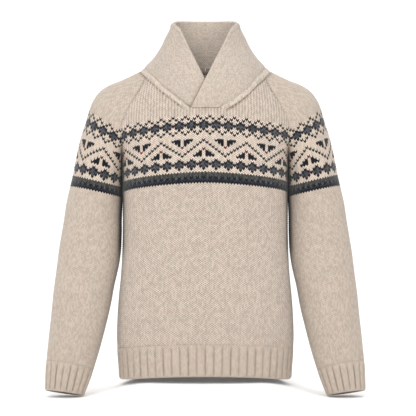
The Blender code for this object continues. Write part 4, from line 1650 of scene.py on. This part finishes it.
@dataclass
class Sleeve(PlainKnit):
    """A raglan sleeve: open at the raglan seams, a tube below the underarm.

    Attributes:
        side: the wearer's side.
        band_drop: how many rows lower its band lies than the body's.
        taper: how much of the sleeve's narrowing is in its stitches.
    """

    chart_shift: int = 1
    side: Side = Side.LEFT
    band_drop: float = 1.4
    taper: float = 0.6

    def __post_init__(self) -> None:
        """Measures the form."""
        stations = np.arange(0, CUFF_TOP + 0.001, 0.25)
        self.table = ArcTable(sleeve_point, stations, np.ones_like(stations))
        fine = np.linspace(UNDERARM, CUFF_TOP, 181)
        out, mid = (sleeve_point(fine, np.full_like(fine, turn)) for turn in (0, 1))
        fall = (lengths_along(out) + lengths_along(mid)) / 2 / ROW_HEIGHT
        self.stations = np.concatenate([fine[::-1], FRONT_FORM.stations[1:]])
        self.rows = np.concatenate([UNDERARM_ROW - fall[::-1], RAGLAN_ROWS[1:]])
        self.rows += self.band_drop
        self.foot_row = self.rows[0]
        self.underarm_row = UNDERARM_ROW + self.band_drop

    def _station(self, v: Array) -> Array:
        """The station of each row."""
        return np.interp(v, self.rows, self.stations)

    def _stitch(self, station: Array) -> Array:
        """The width of a stitch: below the underarm it shrinks with the sleeve."""
        below = np.maximum(station, float(UNDERARM))
        start = self.table.full(np.array([float(UNDERARM)]))
        return STITCH_WIDTH * (self.table.full(below) / start) ** self.taper

    def edge(self, v: Array) -> Array:
        """Half the number of stitches in each row."""
        station = self._station(v)
        return self.table.full(station) / self._stitch(station)

    def place(self, u: Array, v: Array) -> Array:
        """The point of each stitch and row coordinate."""
        station = self._station(v)
        turn = self.table.angle(station, u * self._stitch(station))
        point = sleeve_point(station, turn)
        axis = (sleeve_point(station, 0 * turn) + sleeve_point(station, 0 * turn + 1)) / 2
        return point + unit(axis - point) * sink_of(self.creases, point)[..., None]

    def inside(self, u: Array, v: Array) -> Array:
        """Stitches from the outline."""
        open_edge = ramp(v, self.underarm_row - 0.5, self.underarm_row + 0.5)
        return np.minimum.reduce([
            self.edge(v) - np.abs(u) - SEAM_GAP * open_edge,
            (self.rows[-1] - v) * ROW_SCALE - SEAM_GAP,
            (v - self.foot_row) * ROW_SCALE - SEAM_GAP,
        ])

    def shade(self, points: Array, u: Array, v: Array) -> Array:
        """The painted shade on the cloth beside the body, the seams and below the neck
        trim.
        """
        inner = smooth(self._station(v), SLEEVE_KNOTS, column(SLEEVE, 3))
        top = sleeve_point(0 * u, self.table.angle(0 * u, u * self._stitch(0 * u)))
        cover = (TRIM_REACH + trim_drop(top, self.side.value)) / STITCH_WIDTH
        neck = seam_shade(np.abs((self.rows[-1] - v) * ROW_SCALE - cover),
                          u / NECK_MARK_STITCHES, 0.42, 0.72)
        arm = points[:, 0] - np.minimum(inner, ARM_CONTACT_X + 14)
        return self.lit(points, u, v, arm, neck)

    def layer(self) -> Layer:
        """The piece's closed layer."""
        reach = math.ceil(float(self.table.arcs[:, -1].max()) / STITCH_WIDTH) + 2.0
        outer, inner = self.walls(reach, (math.floor(self.rows[0]) - 2.0,
                                          math.ceil(self.rows[-1]) + 2.0))
        return self.side.of(closed_wall(outer.welded(), inner.welded()))

    def cut(self) -> Cut:
        """The piece's flat size."""
        width = 2 * float(self.table.arcs[:, -1].max()) * MM
        length = (self.rows[-1] - self.rows[0]) * ROW_HEIGHT * MM
        return Cut(width, length, self.area)


@dataclass
class Ribbing(KnittedPiece):
    """Ribbing that is turned in at its lower edge, its ribs spread round a ring.

    Attributes:
        rows: how many rows it has.
        ribs: how many ribs it has.
        groove: how dark the painted shade in its grooves is.
        radius: how far the middle of the fabric stays back from the fold.
    """

    rows: int = 15
    ribs: int = HEM_RIBS
    groove: float = 0.42
    radius: float = field(default=WALL / 2, init=False)

    def spread(self, ring: Callable[[Array], Array], reach: float) -> None:
        """Spaces the ribs evenly along a ring, up to an angle either way."""
        self.angles = np.linspace(-reach, reach, 2001)
        self.lengths = lengths_along(ring(self.angles))
        self.half_count = self.ribs * RIB_STITCHES / 2

    def angle(self, u: Array) -> Array:
        """The angle of each stitch coordinate."""
        share = (u + self.half_count) / (2 * self.half_count)
        return np.interp(share * self.lengths[-1], self.lengths, self.angles)

    def _rise(self, u: Array, depth: Array) -> Array:
        """How far the outer side stands out: less at both edges and in the grooves."""
        wave = np.abs(np.sin(math.pi * (u / RIB_STITCHES))) ** 0.6
        even = 0.3 + 0.7 * ramp(depth, 1.0, 6.0)
        even = even * (1 - 0.6 * ramp(self.length(u) - depth, 11.0, 1.0))
        drawn_in = 0.8 * (1 - ramp(depth, 0.5, 4.5))
        return (-RIB_GROOVE + (RIB_GROOVE + RIB_CROWN) * wave) * even - drawn_in

    def _half(self, u: Array, depth: Array) -> Array:
        """Half the thickness."""
        return (self._rise(u, depth) + RIB_INSIDE) / 2

    def _lift(self, u: Array, depth: Array) -> Array:
        """Where the middle of the fabric lies."""
        return (self._rise(u, depth) - RIB_INSIDE) / 2

    def wrapped(self, u: Array, signed: Array, facing: float) -> Array:
        """The point of each stitch coordinate and way from the fold."""
        return folded(self.surface, u, signed, self.radius, self._lift, self._half, facing)

    def _relief(self, u: Array, v: Array) -> Array:
        """How much stitch relief there is: little on the purl stitch in the groove."""
        groove = np.abs(u / RIB_STITCHES - np.round(u / RIB_STITCHES)) * RIB_STITCHES
        return 0.25 + 0.6 * ramp(groove, 0.3, 0.7)

    def _shade(self, points: Array, u: Array, v: Array) -> Array:
        """Painted shade in the grooves and inside, and a painted highlight along the fold.
        """
        wave = np.abs(np.sin(math.pi * u / RIB_STITCHES))
        uneven = 0.8 + 0.2 * np.sin(np.round(u / RIB_STITCHES) * 2.4 + 1.0)
        rim = 1 - ramp(np.abs(v), 0.4, 1.6)
        start = ramp(np.abs(v), self.rows - 2.6 - uneven, self.rows - 0.3)
        groove = uneven * (1 - ramp(wave, 0.05, 0.42)) * (1 - rim) * (1 - 0.75 * start)
        # a painted highlight along the fold, and painted shade on the inner side
        return (1 - self.groove * groove + 0.05 * rim) * (1 - 0.45 * (v < -0.6))

    def knitted(self, facing: float) -> Layer:
        """The ribbing as an open layer."""
        reach, rows = self.half_count, float(self.rows)
        return Patch(self.place, self.inside, (-reach, reach), (-rows - 1, rows),
                     facing=facing, relief=self._relief, edge_fade=0.2,
                     shade=self._shade).layer()


@dataclass
class HemRib(Ribbing):
    """One half of the ribbed hem, knitted double-edged and turned in at the bottom."""

    form: BodyForm = FRONT_FORM

    def __post_init__(self) -> None:
        """Spaces the ribs."""
        self.spread(lambda angle: self.form.point(RIB_SPACING_Z + 0 * angle, angle),
                    math.pi / 2)
        self.arc = HEM_HEIGHT + (math.pi / 2 - 1) * self.radius

    def length(self, u: Array) -> Array:
        """The length of the ribbing at each stitch coordinate."""
        return HEM_HEIGHT + 0 * u

    def surface(self, u: Array, depth: Array) -> Array:
        """The form of the ribbing, by its distance from the lower edge."""
        angle = self.angle(u)
        return self.form.point(self.form.rib_top(angle) - HEM_HEIGHT + depth, angle)

    def place(self, u: Array, v: Array) -> Array:
        """The point of each stitch and row coordinate."""
        edge = np.clip(u, -self.half_count + 0.06, self.half_count - 0.06)
        return self.wrapped(edge, v * self.arc / self.rows, -float(self.form.side))

    def inside(self, u: Array, v: Array) -> Array:
        """Stitches from the outline."""
        return np.minimum(self.half_count - np.abs(u),
                          (self.rows - np.abs(v)) * 0.7) - SEAM_GAP

    def layer(self) -> Layer:
        """The piece's closed layer."""
        reach = self.half_count
        return zipped(self.knitted(-float(self.form.side)), (-reach, 0.0), (reach, 0.0))

    def cut(self) -> Cut:
        """The piece's flat size, one layer thick."""
        return Cut(self.lengths[-1] * MM, HEM_HEIGHT * MM)


@dataclass
class Cuff(Ribbing):
    """A ribbed cuff, turned in at its open end."""

    rows: int = 13
    ribs: int = CUFF_RIBS
    groove: float = 0.58
    side: Side = Side.LEFT

    def __post_init__(self) -> None:
        """Spaces the ribs and measures the cuff along some of its stitches."""
        self.spread(lambda angle: cuff_point(CUFF_SPACING + 0 * angle, angle), math.pi)
        self.coarse = self.angles[::50]
        falls = np.linspace(0, 1, 21)[:, None]
        lines = cuff_point(falls + 0 * self.coarse, self.coarse + 0 * falls)
        self.depths = np.linalg.norm(np.diff(lines, axis=0), axis=2).sum(axis=0)

    def length(self, u: Array) -> Array:
        """The length of the cuff at each stitch coordinate."""
        return np.interp(self.angle(u), self.coarse, self.depths)

    def surface(self, u: Array, depth: Array) -> Array:
        """The form of the cuff, by its distance from the open end."""
        fall = np.clip(1 - depth / self.length(u), 0, 1)
        return cuff_point(fall, self.angle(u))

    def place(self, u: Array, v: Array) -> Array:
        """The point of each stitch and row coordinate."""
        arc = self.length(u) + (math.pi / 2 - 1) * self.radius
        around = (u + self.half_count) % (2 * self.half_count) - self.half_count
        return self.wrapped(around, v / self.rows * (arc - 0.1), -1.0)

    def inside(self, u: Array, v: Array) -> Array:
        """Rows from the outline."""
        return self.rows - np.abs(v) + 0.001 + 0 * u

    def layer(self) -> Layer:
        """The piece's closed layer."""
        made = self.knitted(-1.0).welded()
        first, second = made.loops()[:2]
        made.close(bridge(made.points, first, second[::-1], closed=True))
        return self.side.of(made)

    def cut(self) -> Cut:
        """The piece's flat size, one layer thick."""
        return Cut(self.lengths[-1] * MM, float(self.depths.mean()) * MM)


@dataclass
class CollarFlap(KnittedPiece):
    """Half of the shawl collar, knitted double and folded along its free edge.

    Attributes:
        side: the wearer's side; the left flap lies over the right.
        stitch: the width of a stitch.
        row: the height of a row.
        roll: how much thicker the fold is at the front corner.
        sewn_in: how far the foot is sewn back into the neck edge.
        corner_drop: how much lower the corner lies than in the CAD.
    """

    side: Side = Side.LEFT
    stitch: float = 5.0
    row: float = 3.9
    roll: float = 1.9
    sewn_in: float = 2.2
    corner_drop: float = 6.0

    def __post_init__(self) -> None:
        """Measures the form."""
        self.over = self.side is Side.LEFT
        self.form = CollarForm(self.side.value)
        levels = np.linspace(0, 1, 81)
        self.table = ArcTable(lambda share, way: self.form.point(share, 1 - way), levels,
                              np.ones_like(levels))
        self.shares = np.linspace(0, 1, 401)
        edge, base = (self.form.point(self.shares, np.full(401, way)) for way in (1, 0))
        self.rows = (lengths_along(edge) + lengths_along(base)) / 2 / self.row

    def _share(self, v: Array) -> Array:
        """The share of the flap's length at each row."""
        return np.interp(v, self.rows, self.shares)

    def _surface(self, v: Array, depth: Array) -> Array:
        """The form of the flap, by its distance from the free edge."""
        share = self._share(v)
        return self.form.point(share, 1 - self.table.angle(share, depth))

    def _sewn(self, v: Array, depth: Array, reach: float) -> Array:
        """1 at the sewn edge, and 0 from a distance on."""
        return 1 - ramp(self.table.full(self._share(v)) - depth, 0.0, reach)

    def _bulge(self, v: Array) -> Array:
        """How much thicker the fold is than the collar: most at the front corner."""
        share = self._share(v)
        corner = ramp(share, 0.3, 0.55) * (1 - ramp(share, 0.62, 0.9))
        return self.roll * (0.3 + 0.7 * corner)

    def _radius(self, v: Array) -> Array:
        """How far the middle of the fabric stays back from the fold."""
        return COLLAR_WALL / 2 + self._bulge(v)

    def _lift(self, v: Array, depth: Array) -> Array:
        """Where the middle of the fabric lies: lower where it is sewn on."""
        sunk = (1.5 if self.over else 0.4) * self._sewn(v, depth, 9.0)
        return self.form.offset(self._share(v)) - sunk

    def _half(self, v: Array, depth: Array) -> Array:
        """Half the thickness: more at the fold, less in the seam at the back."""
        thick = COLLAR_WALL / 2 - 0.4 + self._bulge(v) * (1 - ramp(depth, 3.0, 16.0))
        return thick - 1.3 * (1 - ramp(v, 0.0, 1.4)) - 0.7 * self._sewn(v, depth, 8.0)

    def place(self, u: Array, v: Array) -> Array:
        """The point of each stitch and row coordinate."""
        point = folded(self._surface, v, u * self.stitch, self._radius(v), self._lift,
                       self._half, 1.0)
        foot = COLLAR_FOOT[1]
        sewn = (1 - ramp(point[..., 2], foot, foot + 11)) * (u > 0)
        point[..., 1] += self.sewn_in * sewn * (point[..., 1] < 0)
        share = self._share(v)
        corner = np.exp(-(((share - 0.5) / 0.09) ** 2))
        corner = corner * (1 - ramp(np.abs(u) * self.stitch, 4.0, 45.0))
        point[..., 2] = np.maximum(point[..., 2] - self.corner_drop * corner, foot)
        point[..., 0] = np.where(share < 0.02, np.maximum(point[..., 0], 0.02),
                                 point[..., 0])
        return point

    def _shade(self, points: Array, u: Array, v: Array) -> Array:
        """Painted shade by the seam and by the other flap's edge, and painted light inside.
        """
        width = self.table.full(self._share(v)) / self.stitch
        # painted shade along the seam at the base, and painted light on the inner side
        shade = seam_shade(width - np.abs(u), v / 2, 0.35, 0.1) * (1 + 0.28 * (u < 0))
        if self.over:
            return shade
        # the flap below gets a painted shadow beside the edge of the flap above
        run = (COLLAR_CORNER[1] - COLLAR_FOOT[1]) / (COLLAR_CORNER[0] - COLLAR_FOOT[0])
        edge_x = COLLAR_FOOT[0] + (points[:, 2] - COLLAR_FOOT[1]) / run
        away = (edge_x + points[:, 0]) * math.cos(math.atan(1 / run))
        dark = 1 - 0.42 * np.exp(-np.maximum(away, 0) / 3.2)
        return shade * np.where((points[:, 1] < 0) & (u > 0), dark, 1.0)

    def inside(self, u: Array, v: Array) -> Array:
        """Stitches from the outline."""
        width = self.table.full(self._share(v)) + self._radius(v) * (math.pi / 2 - 1)
        return np.minimum.reduce([
            (width - 0.15) / self.stitch - np.abs(u),
            v * self.row / self.stitch - 0.004,
            (self.rows[-1] - v) * self.row / self.stitch - 0.03,
        ])

    def layer(self) -> Layer:
        """The piece's closed layer."""
        reach = math.ceil(float(self.table.arcs[:, -1].max()) / self.stitch) + 2.0
        made = Patch(self.place, self.inside, (-reach, reach),
                     (-2.0, math.ceil(self.rows[-1]) + 2.0), facing=-1.0,
                     shade=self._shade).layer()
        return self.side.of(zipped(made, (0.0, 0.0), (0.0, float(self.rows[-1]))))

    def cut(self) -> Cut:
        """The piece's flat size as it is worn, folded double."""
        width = float(self.table.arcs[:, -1].mean()) * MM
        return Cut(width, float(self.rows[-1]) * self.row * MM)


@dataclass
class NeckTrim(KnittedPiece):
    """The rolled trim on the neck edge that the collar stands on.

    Attributes:
        side: the wearer's side.
        around: how many stitches go round the roll.
    """

    side: Side = Side.LEFT
    around: int = 4

    def __post_init__(self) -> None:
        """Lays out the trim's line."""
        line = neck_line(121)
        along, climb, out = neck_frames(line)
        share = np.linspace(0, 1, 121)
        growth = TRIM_GROWTH[self.side.value] * ramp(share, 0.4, 0.6) / 2
        half = trim_half(share)
        lift = half + TRIM_GAP - trim_drop(line, self.side.value) + growth
        centre = line + climb * lift[:, None] - out * (WALL / 2)
        self.centre = np.concatenate([centre, centre[-1:] + along[-1:] * TRIM_END])
        self.half = np.append(half + growth, half[-1])
        self.climb, self.out = (np.concatenate([way, way[-1:]]) for way in (climb, out))
        self.length = lengths_along(self.centre)
        self.rows = float(self.length[-1]) / ROW_HEIGHT

    def place(self, u: Array, v: Array) -> Array:
        """The point of each stitch and row coordinate."""
        at = np.clip(v, 0, self.rows) * ROW_HEIGHT
        turn = u / self.around * math.tau
        end = 1 - 0.2 * ramp(v, self.rows - 3.5, self.rows)
        half = (np.interp(at, self.length, self.half) + TRIM_COVER / 2) * end
        thick = (TRIM_THICKNESS / 2 + 0.6) * end
        centre, climb, out = (read_line(at, self.length, line) for line in
                              (self.centre, self.climb, self.out))
        point = (centre - climb * (TRIM_COVER / 2 - 0.5)
                 + climb * (half * np.sin(turn))[..., None]
                 + out * (thick * np.cos(turn))[..., None])
        point[..., 0] = np.maximum(point[..., 0], 0.02)
        return point

    def _shade(self, points: Array, u: Array, v: Array) -> Array:
        """Painted shade on the trim: darker on its lower and inner sides, as light falls.
        """
        turn = u / self.around * math.tau
        return 0.86 + 0.14 * np.cos(turn) + 0.05 * np.sin(turn)

    def layer(self) -> Layer:
        """The piece's closed layer."""
        made = Patch(self.place, lambda u, v: np.minimum(v + 0.01, self.rows - v + 0.01),
                     (0.0, float(self.around)), (-2.0, math.ceil(self.rows) + 1.0),
                     edge_fade=0.8, shade=self._shade).layer().welded()
        made.close([loop[::-1] for loop in made.loops()])
        return self.side.of(made)

    def cut(self) -> Cut:
        """The piece's flat size, rolled up and so two layers thick."""
        half_round = math.pi * (TRIM_THICKNESS + 2 * float(self.half.mean())) / 4
        return Cut(half_round * MM, float(self.length[-1]) * MM)


# Stage --------------------------------------------------------------------------------


FRAME_PIXELS = 416.0
SENSOR_WIDTH = 36.0
PAPER = (0.95, 0.95, 0.95, 1.0)
PAPER_GLOW = (1.0, 1.0, 0.97, 1.0)
AIM = Vector((0.0, 0.0, -0.33))  # where the lights look
LIGHTS = (
    # name, place, size, power
    ("key_light", (-0.7, -3.2, 1.3), 2.0, 56.0),
    ("fill_light", (1.9, -2.2, 0.8), 2.4, 16.0),
    ("top_light", (0.0, 0.2, 2.6), 2.6, 27.0),
    ("side_light", (-2.6, -0.8, 0.2), 2.0, 9.5),
)


@dataclass
class Studio:
    """The floor, the light and the camera.

    Attributes:
        floor: the height of the floor.
        front: how far it reaches before the sweater.
        half: half its width.
        bend: how far behind the sweater it starts to curve up.
        radius: the radius of that curve.
        wall: how high the backdrop is.
        rise: how much higher the floor is under the body.
        rise_x: where that ends at the sides.
        rise_front: from where to where it grows at the front.
        rise_back: from where to where it goes at the back.
        distance: how far the camera is from the sweater.
        eye: the height of the camera.
        focal_pixels: its focal length in pixels of the frame.
        centre_pixel: where the point straight ahead of a level camera appears.
    """

    floor: float = -0.7102
    front: float = 6.0
    half: float = 7.0
    bend: float = 2.2
    radius: float = 1.6
    wall: float = 6.0
    rise: float = 0.0318
    rise_x: tuple[float, float] = (0.115, 0.275)
    rise_front: tuple[float, float] = (-0.36, -0.12)
    rise_back: tuple[float, float] = (0.13, 0.36)
    distance: float = 3.2
    eye: float = -0.3476
    focal_pixels: float = 1454.5
    centre_pixel: tuple[float, float] = (205.3, 228.0)

    def build(self) -> None:
        """Makes the whole stage."""
        self._floor()
        self._light()
        self._camera()

    def _floor(self) -> None:
        """A pale floor with a soft rise under the hem, that curves up into a backdrop."""
        profile = [(-self.front, 0.0)]
        profile += [(float(y), 0.0) for y in np.linspace(-0.36, 0.36, 37)]
        profile.append((self.bend, 0.0))
        profile += [(self.bend + self.radius * math.sin(a), self.radius * (1 - math.cos(a)))
                    for a in np.linspace(0.1, math.pi / 2, 14)]
        profile.append((self.bend + self.radius, self.wall))
        across = [-self.half, *np.linspace(-0.28, 0.28, 29).tolist(), self.half]
        points = [(x, y, self.floor + z + self._rise(x, y))
                  for y, z in profile for x in across]
        count = len(across)
        faces = [(i + count * j, i + 1 + count * j, i + 1 + count * (j + 1),
                  i + count * (j + 1))
                 for j in range(len(profile) - 1) for i in range(count - 1)]
        mesh = bpy.data.meshes.new("studio_floor")
        mesh.from_pydata(points, [], faces)
        mesh.shade_smooth()
        paper = bpy.data.materials.new("studio_paper")
        paper.use_nodes = True
        shader = paper.node_tree.nodes["Principled BSDF"]
        for name, value in (("Base Color", PAPER), ("Roughness", 0.95),
                            ("Specular IOR Level", 0.0), ("Emission Color", PAPER_GLOW),
                            ("Emission Strength", 0.08)):
            shader.inputs[name].default_value = value
        mesh.materials.append(paper)
        linked("studio_floor", mesh)

    def _rise(self, x: float, y: float) -> float:
        """How much higher the floor is under the body than under the cuffs."""
        beside = 1 - ramp(np.array(abs(x)), *self.rise_x)
        ahead = ramp(np.array(y), *self.rise_front)
        behind = 1 - ramp(np.array(y), *self.rise_back)
        return float(self.rise * beside * (ahead * behind))

    def _light(self) -> None:
        """Soft studio light from above and in front, and a bright surrounding."""
        world = bpy.data.worlds.new("studio_surrounding")
        world.use_nodes = True
        background = world.node_tree.nodes["Background"]
        background.inputs["Color"].default_value = (1, 1, 1, 1)
        background.inputs["Strength"].default_value = 0.9
        bpy.context.scene.world = world
        for name, place, size, power in LIGHTS:
            light = bpy.data.lights.new(name, "AREA")
            light.shape = "SQUARE"
            light.size = size
            light.energy = power
            made = linked(name, light)
            made.location = place
            made.rotation_euler = (AIM - Vector(place)).to_track_quat("-Z", "Y").to_euler()

    def _camera(self) -> None:
        """The camera of the photograph, turned a little so that it needs no shift."""
        data = bpy.data.cameras.new("photo_camera")
        data.sensor_width = SENSOR_WIDTH
        data.lens = self.focal_pixels / FRAME_PIXELS * SENSOR_WIDTH
        data.clip_end = 100.0
        made = linked("photo_camera", data)
        made.location = (0.0, -self.distance, self.eye)
        middle = FRAME_PIXELS / 2
        ahead = Vector(((middle - self.centre_pixel[0]) / self.focal_pixels, 1.0,
                        (self.centre_pixel[1] - middle) / self.focal_pixels))
        made.rotation_euler = ahead.to_track_quat("-Z", "Y").to_euler()
        bpy.context.scene.camera = made


# Build --------------------------------------------------------------------------------


# The finishes are copies of one wool; the sleeves' lower lightness is painted shade.
BODY_WOOL = KnitFinish("body_wool", lightness=0.88, fleck=0.32, hole_shade=0.47, wales=0.2,
                       wool_tint=(1.0, 0.99, 0.985))
SLEEVE_WOOL = KnitFinish("sleeve_wool", lightness=0.755, cavity_shade=0.5, hole_shade=0.28,
                         wales=0.06, wool_tint=(1.0, 0.985, 0.97))
RIB_WOOL = KnitFinish("rib_wool", lightness=0.69, fleck=0.22, cavity_shade=0.45,
                      wool_tint=(1.0, 0.98, 0.96))
COLLAR_WOOL = KnitFinish("collar_wool", lightness=0.85, fleck=0.28, cavity_shade=0.62)
TRIM_WOOL = KnitFinish("trim_wool", lightness=0.84, fleck=0.4, cavity_shade=0.6)


@dataclass
class Sweater:
    """All the pieces of the sweater."""

    pieces: list[KnittedPiece] = field(default_factory=list)

    def __post_init__(self) -> None:
        """Lists the pieces."""
        sides = [(side.name.lower(), side) for side in Side]
        self.pieces = [
            Panel("body_front", BODY_WOOL, form=FRONT_FORM, creases=FRONT_CREASES),
            Panel("body_back", BODY_WOOL, form=BACK_FORM, bow=10.0, creases=BACK_CREASES),
            Sleeve("sleeve_left", SLEEVE_WOOL, creases=LEFT_SLEEVE_CREASES),
            Sleeve("sleeve_right", SLEEVE_WOOL, side=Side.RIGHT, band_drop=1.8,
                   creases=RIGHT_SLEEVE_CREASES),
            HemRib("hem_rib_front", RIB_WOOL, 0.9, form=FRONT_FORM),
            HemRib("hem_rib_back", RIB_WOOL, 0.9, form=BACK_FORM),
            *[Cuff("cuff_" + name, RIB_WOOL, 0.9, side=side) for name, side in sides],
            *[CollarFlap("collar_" + name, COLLAR_WOOL, 1.4, side=side)
              for name, side in sides],
            *[NeckTrim("neck_trim_" + name, TRIM_WOOL, 0.6, side=side)
              for name, side in sides],
        ]

    def build(self) -> None:
        """Makes every piece."""
        for piece in self.pieces:
            piece.make()


def main() -> None:
    """Builds the sweater and its stage."""
    logging.basicConfig(level=logging.INFO, format="%(message)s")
    bpy.context.scene.view_settings.view_transform = "Standard"
    Studio().build()
    Sweater().build()


if __name__ == "__main__":
    main()
